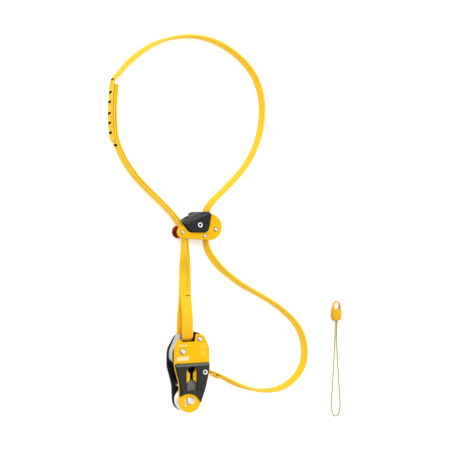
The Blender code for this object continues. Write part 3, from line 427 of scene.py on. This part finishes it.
def plain_plastic_look(name, colour, deep, shade_rim):
    """Glossy plastic, darker on its steep sides as painted shade."""
    look = Look(name, colour, 0.38)
    clouds = look.span(look.noise(6.0, 3.0), 0.35, 0.7)
    ground = look.mix(clouds, deep, colour)
    # Painted shade on the steep sides
    look.set("Base Color", look.mix(look.span(look.upward(), 0.85, 0.35), ground, shade_rim))
    look.set("Specular IOR Level", 0.2)
    look.set("Coat Weight", 0.05)
    look.bump(look.noise(1.1, 3.0), 0.03, 0.4)
    return look.mat


def thread_look(name, colour):
    """Dull sewing thread."""
    look = Look(name, colour, 0.9)
    look.bump(look.noise(0.25, 3.0), 0.08, 0.8)
    look.set("Specular IOR Level", 0.03)
    return look.mat


# ---------------------------------------------------------------- shapes


def catmull(p0, p1, p2, p3, t):
    """A point between p1 and p2 on the smooth curve through all four."""
    return 0.5 * (
        2 * p1
        + (p2 - p0) * t
        + (2 * p0 - 5 * p1 + 4 * p2 - p3) * t * t
        + (3 * p1 - p0 - 3 * p2 + p3) * t * t * t
    )


def smooth_route(points, step):
    """Evenly spaced points on a smooth curve through the route's points."""
    route = [Vector(p) for p in points]
    ends = [2 * route[0] - route[1], *route, 2 * route[-1] - route[-2]]
    dense = []
    for i in range(len(route) - 1):
        for k in range(24):
            dense.append(catmull(*ends[i : i + 4], k / 24))
    dense.append(route[-1])
    travelled = [0.0]
    for a, b in zip(dense, dense[1:]):
        travelled.append(travelled[-1] + (b - a).to_3d().length)
    count = max(2, round(travelled[-1] / step))
    even = []
    at = 0
    for k in range(count + 1):
        wanted = travelled[-1] * k / count
        while at < len(dense) - 2 and travelled[at + 1] < wanted:
            at += 1
        share = (wanted - travelled[at]) / (travelled[at + 1] - travelled[at])
        even.append(dense[at].lerp(dense[at + 1], min(1.0, share)))
    return even


def offset_route(points, distance):
    """The route moved sideways, to the right of its own direction."""
    moved = []
    for i, point in enumerate(points):
        along = points[min(i + 1, len(points) - 1)] - points[max(i - 1, 0)]
        side = Vector((along.y, -along.x)).normalized()
        moved.append(Vector((point.x + side.x * distance, point.y + side.y * distance, *point[2:])))
    return moved


def arc(cx, cy, radius, start, end, steps):
    """Points (x, y) on a circle from one angle to another, in degrees."""
    points = []
    for i in range(steps + 1):
        angle = math.radians(start + (end - start) * i / steps)
        points.append((cx + radius * math.cos(angle), cy + radius * math.sin(angle)))
    return points


def smoothstep(low, high, value):
    """0 up to low and 1 from high, with a soft rise between them. Low may be the larger."""
    share = min(1.0, max(0.0, (value - low) / (high - low)))
    return share * share * (3 - 2 * share)


def length_mm(points):
    return sum((b - a).to_3d().length for a, b in zip(points, points[1:]))


def add_piece(name, data, material, body, replaces=()):
    """A piece that rides on a body, and takes the place of CAD nodes if any are named."""
    obj = bpy.data.objects.new(name, data)
    bpy.context.scene.collection.objects.link(obj)
    data.materials.append(material)
    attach(obj, body)
    if replaces:
        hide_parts(*replaces)
    return obj


def mesh_of(bm, name, smooth_angle=40.0):
    """The finished mesh in metres, smooth except at edges past the angle."""
    bmesh.ops.recalc_face_normals(bm, faces=bm.faces)
    for vert in bm.verts:
        vert.co = vert.co * MM
    mesh = bpy.data.meshes.new(name)
    bm.to_mesh(mesh)
    bm.free()
    mesh.shade_smooth()
    mesh.set_sharp_from_angle(angle=math.radians(smooth_angle))
    return mesh


def strap_profile(width, thick):
    """(across, up, v) round a flat strap's section. Its face bulges a little in the middle."""
    half = width / 2
    deep = thick / 2
    corner = min(deep * 0.85, STRAP_CORNER)
    points = []
    for sign in (1, -1):
        for k in range(9):
            share = 1 - 2 * k / 8
            across = -sign * share * (half - corner)
            up = -sign * (deep - STRAP_CROWN * share * share)
            points.append((across, up, across))
        for k in range(1, 5):
            angle = math.radians(-90.0 + 180.0 * k / 5)
            across = sign * (half - corner + corner * math.cos(angle))
            up = sign * (deep - STRAP_CROWN) * math.sin(angle)
            points.append((across, up, across))
    return points


def band(name, sections):
    """A woven strip through sections (centre, across, width, thick), with u along and v across."""
    bm = bmesh.new()
    uv = bm.loops.layers.uv.new("UVMap")
    rings = []
    travelled = 0.0
    for i, (centre, across, width, thick) in enumerate(sections):
        ahead = sections[min(i + 1, len(sections) - 1)][0] - sections[max(i - 1, 0)][0]
        normal = ahead.cross(across).normalized()
        if i:
            travelled += (centre - sections[i - 1][0]).length
        loop = []
        for a, up, v in strap_profile(width, thick):
            loop.append((bm.verts.new(centre + across * a + normal * up), travelled * MM, v * MM))
        rings.append(loop)
    count = len(rings[0])
    for first, second in zip(rings, rings[1:]):
        for k in range(count):
            j = (k + 1) % count
            corners = (first[k], first[j], second[j], second[k])
            face = bm.faces.new([c[0] for c in corners])
            for loop, corner in zip(face.loops, corners):
                loop[uv].uv = corner[1:]
    for ring in (rings[0], rings[-1]):
        face = bm.faces.new([c[0] for c in ring])
        for loop, corner in zip(face.loops, ring):
            loop[uv].uv = (corner[1] + 0.0003, corner[2])
    return mesh_of(bm, name, 60.0)


def puffed(points, pressed, eased=40.0):
    """Thickness at each point: the tube opens once it is clear of what presses its two ends."""
    total = length_mm(points)
    gone = 0.0
    found = []
    for i, point in enumerate(points):
        if i:
            gone += (point - points[i - 1]).length
        free = smoothstep(pressed[0], pressed[0] + eased, gone)
        free *= smoothstep(pressed[1], pressed[1] + eased, total - gone)
        found.append(STRAP_THICK + (FREE_THICK - STRAP_THICK) * free)
    return found


def on_edge(points, thick=None, width=STRAP_WIDTH):
    """Sections of a strap that stands on its edge and leans as its points (x, y, z, lean) say."""
    sections = []
    thick = thick or [STRAP_THICK] * len(points)
    for i, point in enumerate(points):
        along = points[min(i + 1, len(points) - 1)] - points[max(i - 1, 0)]
        side = Vector((along.y, -along.x, 0.0)).normalized()
        lean = math.radians(point.w)
        across = (Vector((0.0, 0.0, 1.0)) * math.cos(lean) + side * math.sin(lean)).normalized()
        sections.append((point.to_3d(), across, width, thick[i]))
    return sections


def tube_mesh(name, points, diameter, sides=10):
    """A cord with u along it in metres and v once round it."""
    bm = bmesh.new()
    uv = bm.loops.layers.uv.new("UVMap")
    rings = []
    travelled = 0.0
    for i, point in enumerate(points):
        along = (points[min(i + 1, len(points) - 1)] - points[max(i - 1, 0)]).normalized()
        side = along.cross(Vector((0.0, 0.0, 1.0))).normalized()
        up = side.cross(along)
        if i:
            travelled += (point - points[i - 1]).length
        ring = []
        for k in range(sides):
            angle = 2 * math.pi * k / sides
            out = side * math.cos(angle) + up * math.sin(angle)
            ring.append(bm.verts.new(point + out * diameter / 2))
        rings.append((ring, travelled * MM))
    for (first, u0), (second, u1) in zip(rings, rings[1:]):
        for k in range(sides):
            j = (k + 1) % sides
            face = bm.faces.new((first[k], first[j], second[j], second[k]))
            spots = ((u0, k / sides), (u0, (k + 1) / sides), (u1, (k + 1) / sides), (u1, k / sides))
            for loop, spot in zip(face.loops, spots):
                loop[uv].uv = spot
    bm.faces.new(rings[0][0])
    bm.faces.new(rings[-1][0])
    return mesh_of(bm, name, 60.0)


def threads(name, runs, diameter):
    """Black sewing thread along each run of points, as one curve."""
    curve = bpy.data.curves.new(name, "CURVE")
    curve.dimensions = "3D"
    curve.bevel_depth = diameter / 2 * MM
    curve.bevel_resolution = 1
    curve.use_fill_caps = True
    for run in runs:
        spline = curve.splines.new("POLY")
        spline.points.add(len(run) - 1)
        for target, point in zip(spline.points, run):
            target.co = (*(Vector(point) * MM), 1.0)
    add_piece(name, curve, BLACK_THREAD, "anchor")


def bar_tack(centre, along, across, out, long, wide, turns=11):
    """A dense zigzag that stands a little proud of the strap's face."""
    run = []
    for k in range(turns * 2 + 1):
        share = k / (turns * 2) - 0.5
        side = 0.5 if k % 2 else -0.5
        run.append(centre + across * (long * share) + along * (wide * side) + out * 0.1)
    return run


def dashed_row(points, out, pitch):
    """Short runs of thread along a line of points, each dipping into the strap at its ends."""
    runs = []
    spots = smooth_route([tuple(p) for p in points], pitch / 4)
    for k in range(0, len(spots) - 3, 4):
        here = spots[k : k + 4]
        lift = (-0.25, 0.12, 0.12, -0.25)
        runs.append([p + out * h for p, h in zip(here, lift)])
    return runs


def turned(name, profile, place, material, body, replaces=(), steps=48):
    """A round piece about Z from a closed or axis-to-axis profile (radius, z)."""
    bm = bmesh.new()
    rings = []
    for radius, z in profile:
        if radius < 0.001:
            rings.append([bm.verts.new((place[0], place[1], z))])
            continue
        spots = arc(*place, radius, 0, 360 - 360 / steps, steps - 1)
        rings.append([bm.verts.new((x, y, z)) for x, y in spots])
    closed = len(rings[0]) > 1
    pairs = list(zip(rings, rings[1:])) + ([(rings[-1], rings[0])] if closed else [])
    for first, second in pairs:
        for k in range(steps):
            j = (k + 1) % steps
            if len(first) == 1:
                bm.faces.new((first[0], second[k], second[j]))
            elif len(second) == 1:
                bm.faces.new((first[k], first[j], second[0]))
            else:
                bm.faces.new((first[k], first[j], second[j], second[k]))
    return add_piece(name, mesh_of(bm, name, 32.0), material, body, replaces)


# ---------------------------------------------------------------- the straps


def strap_paths():
    """Dense routes of the loop with its sewn end, and of the doubled strap's two layers."""
    turn = []
    for degrees in LEFT_TURN:
        angle = math.radians(degrees)
        turn_x = LEFT_RIVET[0] + LEFT_TURN_R * math.cos(angle)
        turn_y = LEFT_RIVET[1] + LEFT_TURN_R * math.sin(angle)
        turn.append((turn_x, turn_y, ADJ_MID, 0.0))
    foot = (LEFT_RIVET[0] + LEFT_TURN_R, LEG_TOP_Y + GAP, ADJ_MID, 0.0)
    inner = smooth_route((*DOUBLED_ROUTE, *turn, foot), STRAP_STEP)
    outer = offset_route(inner, STRAP_PITCH)
    top, bottom = SPLICE_Y
    beside = offset_route(inner, 2 * STRAP_PITCH + GAP)
    beside = [p for p in beside if bottom - 1.3 < p.y < top]
    sewn = beside[:-1:8] + [beside[-1]]  # few enough for a smooth curve
    loop = smooth_route((*LOOP_ROUTE, *(tuple(p) for p in sewn)), STRAP_STEP)
    return loop, inner, outer


def straps():
    """The four straps on their edges, and the teardrop's cord."""
    loop, inner, outer = strap_paths()
    tail = smooth_route(TAIL_ROUTE, STRAP_STEP)
    paired = [PAIRED_THICK] * len(inner)
    runs = (
        ("loop_strap", loop, "strap_loop", puffed(loop, LOOP_PRESSED)),
        ("doubled_strap_inner", inner, "strap_doubled_inner", paired),
        ("doubled_strap_outer", outer, "strap_doubled_outer", paired),
        ("tail_strap", tail, "strap_tail", puffed(tail, TAIL_PRESSED)),
    )
    for name, points, node, thick in runs:
        piece = add_piece(name, band(name, on_edge(points, thick)), WEB, "anchor", [node])

    left = [(CORD_X - dx, y, z) for dx, y, z in CORD_HALF]
    right = [(CORD_X + dx, y, z) for dx, y, z in reversed(CORD_HALF[:-1])]
    for run, top, sign in ((left, 0, -1), (right, -1, 1)):
        run[top] = (TEAR_X + sign * 1.3, *run[top][1:])
    left[1] = (TEAR_X - 0.9, *left[1][1:])
    right[-2] = (TEAR_X + 1.7, *right[-2][1:])
    cord_points = smooth_route((*left, *right), 1.6)
    cord = add_piece(
        "teardrop_loop", tube_mesh("teardrop_loop", cord_points, CORD_D), CORD, "retrieval_tool",
        ["teardrop_cord"],
    )  # fmt: skip
    return loop, outer, tail


def leg_section(y, sign):
    """One layer of the leg at y: the pair twists a quarter turn and then parts."""
    turned_by = math.pi / 2 * smoothstep(*LEG_TWIST_Y, y)
    flat = smoothstep(206.0, 120.0, y)
    apart = STRAP_PITCH / 2 + 0.35 * smoothstep(212.0, 196.0, y)
    apart += (EYE_R - apart) * smoothstep(124.0, 66.0, y)
    width = STRAP_WIDTH + (EYE_WIDTH - STRAP_WIDTH) * flat
    thick = STRAP_THICK + (EYE_THICK - STRAP_THICK) * flat
    middle_x = LEFT_RIVET[0] + LEFT_TURN_R - STRAP_PITCH / 2
    middle_x += (EYE_X - middle_x) * flat + sign * EYE_SKEW * smoothstep(130.0, 76.0, y)
    middle_z = ADJ_MID + (FRAME_MID - ADJ_MID) * smoothstep(206.0, 100.0, y)
    facing = Vector((-math.cos(turned_by), 0.0, math.sin(turned_by)))
    across = Vector((math.sin(turned_by), 0.0, math.cos(turned_by)))
    centre = Vector((middle_x, y, middle_z)) + facing * (sign * apart)
    return centre, across * sign, width, thick


def leg():
    """One layer down the leg, round the eye and back up as the other layer."""
    steps = 90
    heights = [LEG_TOP_Y - (LEG_TOP_Y - EYE_Y) * k / steps for k in range(steps + 1)]
    sections = [leg_section(y, 1) for y in heights]
    for k in range(1, 18):
        share = k / 18
        angle = math.radians(90.0 + 180.0 * share)
        x = EYE_X + EYE_SKEW * (1.0 - 2.0 * share)
        centre = Vector((x, EYE_Y + EYE_R * math.cos(angle), FRAME_MID + EYE_R * math.sin(angle)))
        sections.append((centre, Vector((1.0, 0.0, 0.0)), EYE_WIDTH, EYE_THICK))
    for y in reversed(heights):
        centre, across, width, thick = leg_section(y, -1)
        sections.append((centre, -across, width, thick))
    add_piece("leg_strap", band("leg_strap", sections), LEG_WEB, "anchor", ["strap_leg"])


def tail_eye(tail):
    """From the tail's end round its pin and back along the tail, thinner towards the end."""
    start = tail[-1] + Vector((-0.35, 0.2, 0.0, 0.0))
    round_pin = [(px, py, FRAME_MID, 0.0) for px, py in arc(*TAIL_PIN, TAIL_EYE_R, 68.0, 300.0, 10)]
    back = offset_route(tail, -STRAP_PITCH)[-8:]
    sewn = [(point.x, point.y, point.z, -point.w) for point in reversed(back)]
    route = [tuple(start), (35.0, -4.4, FRAME_MID, 0.0), *round_pin, (33.6, -9.6, 13.4, 0.0), *sewn]
    points = smooth_route(route, 1.5)
    last = len(points) - 1
    thick = [STRAP_THICK * smoothstep(-12.0, 12.0, last - i) for i in range(len(points))]
    mesh = band("tail_eye", on_edge(points, thick))
    add_piece("tail_eye", mesh, WEB, "anchor", ["strap_tail_eye"])


def face_frame(points, y):
    """The strap's centre, direction and right-hand side where it passes y on its left part."""
    left = [i for i in range(1, len(points) - 1) if points[i].x <= 0]
    i = min(left, key=lambda i: abs(points[i].y - y))
    along = (points[i + 1] - points[i - 1]).to_3d().normalized()
    return points[i].to_3d(), along, Vector((along.y, -along.x, 0.0)).normalized()


def stitching(loop, outer, tail):
    """Black bar tacks through the splice and the leg; at the tail's sewn end a tack that is also
    painted shadow; and a row of dark thread dashes down the leg.
    """
    right = Vector((1.0, 0.0, 0.0))
    ahead = Vector((0.0, 1.0, 0.0))
    up = Vector((0.0, 0.0, 1.0))
    runs = []
    for route, y in (*((loop, y) for y in SPLICE_TACKS_Y), (outer, LAST_TACK_Y)):
        spot, along, out = face_frame(route, y)
        runs.append(bar_tack(spot + out * (STRAP_THICK / 2), along, up, out, *TACK_SIZE))
    threads("splice_bar_tacks", runs, TACK_THREAD)

    centre, across, width, thick = leg_section(LEG_TACK_Y, 1)
    tack = bar_tack(centre + up * (thick / 2), ahead, right, up, 7.0, 1.8, 8)
    tack = [p + right * 2.6 for p in tack]
    threads("leg_bar_tack", [tack], 0.6)

    # A row of short dark dashes of thread down the leg's face
    row = []
    first, last = LEG_ROW_Y
    for k in range(64):
        y = first - (first - last) * k / 63
        centre, across, width, thick = leg_section(y, 1)
        facing = across.cross(ahead).normalized()
        facing = facing if facing.z > 0 else -facing
        shift = (LEG_ROW_X - centre.x) / max(0.3, across.x)
        row.append(centre + across * min(shift, width * 0.42) + facing * (thick / 2 - 0.02))
    threads("leg_dashed_row", dashed_row(row, up, 3.4), 0.42)

    # A bar tack where the sewn return ends, its black thread also painted shadow for that end
    lower = [i for i in range(len(tail)) if tail[i].y <= 0]
    end = min(lower, key=lambda i: abs(tail[i].x - TAIL_TACK_X))
    spot = tail[end].to_3d() + up * (STRAP_WIDTH / 2)
    along = (tail[end] - tail[end - 1]).to_3d().normalized()
    beside = Vector((along.y, -along.x, 0.0))
    runs = [bar_tack(spot - beside * (STRAP_PITCH / 2), beside, along, up, 4.6, 1.3, 8)]
    threads("tail_tack_and_shadow", runs, 0.5)


# ---------------------------------------------------------------- pins, rivets and wheels


def rivet(name, place, shaft, head, low, shoulder, top, dimple=0.0):
    """A pin with a domed head, a pressed dimple if one is asked for, and a black ring of painted
    shadow round the head.
    """
    rise = top - shoulder
    profile = [(0.0, top - dimple), (0.16 * head, top - dimple)] if dimple else [(0.0, top)]
    for share in (0.26, 0.45, 0.62, 0.76, 0.87, 0.95):
        profile.append((share * head, top - 0.55 * rise * share**3))
    profile += [(head, shoulder + 0.32 * rise), (head, shoulder + 0.08), (head - 0.12, shoulder)]
    profile += [(shaft, shoulder), (shaft, low + 0.15), (shaft - 0.15, low), (0.0, low)]
    turned(name, profile, place, STEEL, "anchor", [name])
    # A black ring of painted shadow round the head
    shadow_ring(f"{name}_rim", place, head - 0.15, head + 0.55, shoulder - GAP + 0.02, shoulder, "anchor")


def hollow_head(name, place, shaft, head, shoulder, top, low, body):
    """A pin with a flat bright flange round its bore, which a black filler darkens as painted shade.
    """
    bore = 2.1
    profile = (
        (0.0, top - 3.0), (bore, top - 3.0), (bore, top - 0.25), (bore + 0.22, top),
        (head - 0.45, top), (head - 0.12, top - 0.14), (head, top - 0.45), (head, shoulder + 0.1),
        (head - 0.1, shoulder), (shaft, shoulder), (shaft, low), (0.0, low),
    )  # fmt: skip
    turned(name, profile, place, BRIGHT, body, [name])
    # A black filler of painted shade in the bore
    bore_shadow = ((0.0, top - 0.35), (bore - 0.03, top - 0.35), (bore - 0.03, top - 2.9), (0.0, top - 2.9))
    turned(f"{name}_bore", bore_shadow, place, SHADE_BLACK, body)


def sleeve(name, place, outer, inner, low, high, material, slot, body="anchor", edge=0.35):
    """A tube about Z with rounded outer edges."""
    profile = (
        (inner, low), (outer - edge, low), (outer - edge / 3, low + edge / 3), (outer, low + edge),
        (outer, high - edge), (outer - edge / 3, high - edge / 3), (outer - edge, high),
        (inner, high),
    )  # fmt: skip
    return turned(name, profile, place, material, body, [name], 64)


def shadow_ring(name, place, inner, outer, low, high, body):
    """A black ring of painted shadow round a pin's head."""
    profile = ((inner, low), (outer, low), (outer, high), (inner, high))
    turned(name, profile, place, SHADE_BLACK, body)


def round_pieces():
    """Every turned piece: first those of the pulley frame, then those of the adjuster."""
    face = FRAME_FRONT + GAP
    low = 0.3
    rivet("hook_pivot_pin", HOOK_PIVOT, 3.0, 4.2, low, face, face + 1.7, 0.25)
    rivet("top_rivet", TOP_RIVET, 2.6, 3.6, low, face, face + 1.7, 0.25)
    rise = face + 2.4
    axle = (
        (0.0, rise - 0.3), (1.1, rise - 0.3), (1.35, rise - 0.05), (3.9, rise), (4.3, rise - 0.35),
        (4.6, rise - 0.35), (4.95, rise - 0.1), (5.5, rise - 0.25), (5.9, rise - 0.65),
        (6.1, rise - 1.3), (6.1, face + 0.1), (6.0, face), (4.0, face), (4.0, low), (0.0, low),
    )  # fmt: skip
    turned("sheave_axle", axle, AXLE, STEEL, "anchor", ["sheave_axle"], 64)
    side = ((0.0, 26.6), (1.3, 26.6), (1.6, 26.3), (1.6, 0.4), (0.0, 0.4))
    turned("side_pin", side, SIDE_PIN, STEEL, "anchor", ["side_pin"], 32)
    hollow_head("tail_anchor_pin", TAIL_PIN, 3.3, 4.0, face, COVER_HIGH + 0.6, low, "anchor")
    # A black ring of painted shadow in the cover's hole round the pin
    shadow_ring("cover_shadow_ring", TAIL_PIN, 4.1, 4.95, FRAME_FRONT + 0.02, COVER_HIGH - 0.7, "anchor")

    half = SHEAVE_HALF
    groove = [(8.3, FRAME_MID + half), (SHEAVE_R - 0.6, FRAME_MID + half)]
    groove += [(SHEAVE_R - 0.15, FRAME_MID + half - 0.2), (SHEAVE_R, FRAME_MID + half - 1.2)]
    reach = half - 1.2
    for x, z in arc(SHEAVE_R, FRAME_MID, reach, 90.0, 270.0, 24)[1:-1]:
        groove.append((SHEAVE_R - (SHEAVE_R - x) * (SHEAVE_R - GROOVE_R) / reach, z))
    groove += [(SHEAVE_R, FRAME_MID - half + 1.2), (SHEAVE_R - 0.15, FRAME_MID - half + 0.2)]
    groove += [(SHEAVE_R - 0.6, FRAME_MID - half), (8.3, FRAME_MID - half)]
    turned("sheave", groove, AXLE, BRIGHT, "rope_wheel", ["sheave"], 96)
    outer_ring = (FRAME_MID - 5.5, FRAME_MID + 5.5)
    inner_ring = (FRAME_MID - 6.0, FRAME_MID + 6.0)
    sleeve("sheave_bearing_outer", AXLE, 8.0, 6.6, *outer_ring, STEEL, "steel", "rope_wheel")
    sleeve("sheave_bearing_inner", AXLE, 6.2, 4.3, *inner_ring, DARK_STEEL, "dark_steel")

    face = ADJ_FRONT + GAP
    rivet("left_rivet", LEFT_RIVET, 2.2, 2.9, low, face, face + 1.3, 0.2)
    rivet("lower_rivet", LOWER_RIVET, 1.9, 2.7, low, face, face + 1.3, 0.2)
    rivet("bollard_rivet", BOLLARD, 2.3, 3.0, low, face, face + 1.3, 0.2)
    seat = LEVER_SEAT_Z + GAP
    hollow_head("cam_axle", CAM_AXLE, 3.2, 4.1, seat, seat + 0.9, low, "anchor")
    # A black ring of painted shadow in the recess round the axle
    shadow_ring("lever_shadow_ring", CAM_AXLE, 4.2, 5.8, LEVER_SEAT_Z + 0.02, LEVER_SEAT_Z + 0.5, "cam_release")
    inside = (2.8, 21.2)
    sleeve("left_guide_bush", LEFT_RIVET, 4.6, 2.5, *inside, DARK_STEEL, "dark_steel")
    sleeve("lower_guide_bush", LOWER_RIVET, 3.5, 2.2, *inside, DARK_STEEL, "dark_steel")


def lever_top(x, y):
    """Height of the lever's face there: flat, then two facets that fall away to its top edge."""
    ramp = LEVER_FACE_Z + 0.0854 * (x - RAMP_FOLD[0]) - 0.2028 * (y - RAMP_FOLD[1])
    roof = 27.06 + 0.2134 * (x - ROOF_FOLD[0]) - 0.5069 * (y - ROOF_FOLD[1])
    return min(LEVER_FACE_Z, ramp, roof)


def lever_groove_shade():
    """Narrow black strips of painted shade along the lever's folds, for grooves there."""
    bm = bmesh.new()
    for line, wide in (
        (((-6.6, 240.0), (-1.5, 241.2), (8.4, 244.4), (16.5, 246.2), (32.0, 248.2)), 0.55),
        (((-8.6, 233.6), (0.5, 233.2), (16.4, 238.4), (33.6, 246.4)), 0.35),
    ):
        spots = smooth_route([(*p, 0.0, 0.0) for p in line], 1.2)
        rings = []
        for k, spot in enumerate(spots):
            ahead = spots[min(k + 1, len(spots) - 1)] - spots[max(k - 1, 0)]
            side = Vector((ahead.y, -ahead.x)).normalized() * wide / 2
            ring = []
            for sign, lift in ((-1, -0.3), (1, -0.3), (1, 0.05), (-1, 0.05)):
                px = spot.x + side.x * sign
                py = spot.y + side.y * sign
                ring.append(bm.verts.new((px, py, lever_top(px, py) + lift)))
            rings.append(ring)
        for first, second in zip(rings, rings[1:]):
            for k in range(4):
                j = (k + 1) % 4
                bm.faces.new((first[k], first[j], second[j], second[k]))
        bm.faces.new(rings[0])
        bm.faces.new(rings[-1])
    mesh = mesh_of(bm, "lever_groove_shade")
    add_piece("lever_groove_shade", mesh, SHADE_BLACK, "cam_release")


def prints():
    """Plain marks on the yellow plate: slanted bars, short dashes, empty frames and two arcs."""
    bars = []
    for k in range(7):
        x = -22.4 + 2.9 * k
        bars.append(((x, 14.4), (x + 1.7, 14.4), (x + 3.1, 20.6), (x + 1.4, 20.6)))
    for k in range(6):
        x = -19.4 + 2.5 * k
        bars.append(((x, 37.6), (x + 1.7, 37.6), (x + 1.9, 38.9), (x + 0.2, 38.9)))
    for start, end in ((152.0, 214.0), (-34.0, 22.0)):
        outside = arc(*AXLE, 9.0, start, end, 12)
        inside = arc(*AXLE, 8.0, end, start, 12)
        bars.append((*outside, *inside))
    bars.append(tuple(arc(-7.6, -57.0, 1.3, 0.0, 345.0, 23)))
    flat_marks("plate_marks", bars, PRINT)
    frames = []
    line = 0.45
    for low, high in ((20.0, 28.5), (31.0, 39.5)):
        left, right = 18.0, 27.5
        frames.append(((left, low), (right, low), (right, low + line), (left, low + line)))
        frames.append(((left, high - line), (right, high - line), (right, high), (left, high)))
        frames.append(((left, low), (left + line, low), (left + line, high), (left, high)))
        frames.append(((right - line, low), (right, low), (right, high), (right - line, high)))
        middle = (low + high) / 2
        frames.append(tuple(arc(22.8, middle, 2.0, 0.0, 340.0, 17)))
    flat_marks("faint_marks", frames, FAINT_PRINT)


def flat_marks(name, outlines, material):
    """Thin flat shapes that lie on the frame's yellow plate."""
    bm = bmesh.new()
    for outline in outlines:
        low = [bm.verts.new((x, y, FRAME_FRONT + 0.01)) for x, y in outline]
        high = [bm.verts.new((x, y, FRAME_FRONT + 0.05)) for x, y in outline]
        count = len(outline)
        for k in range(count):
            j = (k + 1) % count
            bm.faces.new((low[k], low[j], high[j], high[k]))
        bm.faces.new(high)
        bm.faces.new(list(reversed(low)))
    add_piece(name, mesh_of(bm, name), material, "anchor")


# ---------------------------------------------------------------- CAD nodes that stay


def dress(node, material, sharp_angle=35.0):
    """A new material for a CAD node, whose shape stays as it is."""
    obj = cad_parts[node]
    obj.data.materials.clear()
    obj.data.materials.append(material)
    obj.data.shade_smooth()
    obj.data.set_sharp_from_angle(angle=math.radians(sharp_angle))


def dress_nodes():
    """Every CAD node that is carried over."""
    wearers = (
        (YELLOW, ("frame_front_plate", "adjuster_front_plate")),
        (RED, ("adjuster_rear_plate",)),
        (BLACK_ANODISED, ("frame_rear_plate",)),
        # Black parts inside the frame, darker than the moulding as painted shade
        (SHADE_BLACK, ("trigger_rod", "strap_keeper", "trigger_housing")),
        (SHADE_BLACK, ("sheave_washer_front", "sheave_washer_rear")),
        # The trigger spring wears the dark steel as painted shade
        (DARK_STEEL, ("trigger_spring", "cam_washer_rear")),
        (HOOK, ("release_hook",)),
        (GREY_SLIDER, ("trigger_slider",)),
        (TEARDROP, ("teardrop",)),
        (STEEL, ("cam", "cam_spring", "clamp_bollard")),
        (STEEL, ("hook_spring", "top_spacer", "side_spacer")),
    )
    for material, names in wearers:
        for node in names:
            dress(node, material)
    dress("frame_cover", COVER, FACET_ANGLE)
    dress("cam_lever", MOULDED, FACET_ANGLE)


camera()
studio()

WEB_FACE = (1.0, 0.61, 0.020)
WEB_SHADE = (0.68, 0.37, 0.008)
# Painted light for the strap's edges
WEB_LIT_EDGE = (0.92, 0.60, 0.045)
WEB = webbing_look("webbing", WEB_FACE, WEB_SHADE, WEB_LIT_EDGE)
# Its last colour is painted shade near the leg's eye
LEG_WEB = webbing_look("leg_webbing", WEB_FACE, WEB_SHADE, WEB_LIT_EDGE, (0.98, 0.40, 0.008))
CORD = braid_look()
BLACK_THREAD = thread_look("black_thread", (0.0015, 0.0012, 0.0012))
YELLOW = anodised_look("yellow_anodised", (0.88, 0.49, 0.001), (0.82, 0.44, 0.001), 0.5, wear=0.35)
RED = anodised_look(
    "red_anodised", (0.42, 0.05, 0.010), (0.28, 0.028, 0.007), 0.7, (0.8, 0.5, 0.4), 0.45
)
BLACK_ANODISED = anodised_look(
    "black_anodised", (0.016, 0.016, 0.018), (0.010, 0.010, 0.011), 0.3, (0.3, 0.3, 0.31), 0.45
)
# The two mouldings' facet colours: painted light on slopes that face +y, painted shade on steep sides
MOULDED = moulded_look(
    "black_moulding", (0.008, 0.008, 0.0095), (0.022, 0.022, 0.024),
    facets=((0.12, 0.12, 0.125), (0.001, 0.001, 0.001)),
)  # fmt: skip
COVER = moulded_look(
    "cover_moulding", (0.015, 0.015, 0.016), (0.032, 0.032, 0.034),
    facets=((0.20, 0.20, 0.205), (0.001, 0.001, 0.001)),
)  # fmt: skip
# Near-black that stands in for shade: the painted shadow rings, bore fillers and groove lines, and the
# black parts inside the frame, made darker than the black moulding as painted shade
SHADE_BLACK = moulded_look(
    "shade_black", (0.002, 0.002, 0.002), (0.006, 0.006, 0.006), 0.7, gloss=0.04
)
STEEL = metal_look("rivet_steel", (0.70, 0.70, 0.74), (0.36, 0.35, 0.36), 0.24)
# Steel made dark as painted shade: the trigger spring deep in the cover's window, and the washer,
# bushes and bearing tucked inside
DARK_STEEL = metal_look("steel_in_shade", (0.10, 0.10, 0.11), (0.05, 0.05, 0.05), 0.36)
HOOK = metal_look(
    "forged_hook", (0.50, 0.49, 0.47), (0.20, 0.19, 0.18), 0.27, 0.8, (1.0, 0.3, 1.0), 0.6
)
BRIGHT = metal_look("bright_alloy", (0.93, 0.93, 0.94), (0.72, 0.72, 0.74), 0.32)
GREY_SLIDER = moulded_look("grey_slider", (0.14, 0.135, 0.125), (0.23, 0.22, 0.21), 0.45, 0.09)
# The teardrop's last colour is painted shade for its steep sides
TEARDROP = plain_plastic_look(
    "yellow_plastic", (0.82, 0.45, 0.002), (0.70, 0.36, 0.001), (0.42, 0.22, 0.001)
)
PRINT = moulded_look("pale_print", (0.93, 0.90, 0.80), (0.96, 0.70, 0.20), 0.6, 0.01)
FAINT_PRINT = moulded_look("faint_print", (0.98, 0.66, 0.10), (0.98, 0.62, 0.05), 0.5, 0.01)

loop_points, outer_points, tail_points = straps()
leg()
tail_eye(tail_points)
stitching(loop_points, outer_points, tail_points)
round_pieces()
lever_groove_shade()
prints()
dress_nodes()
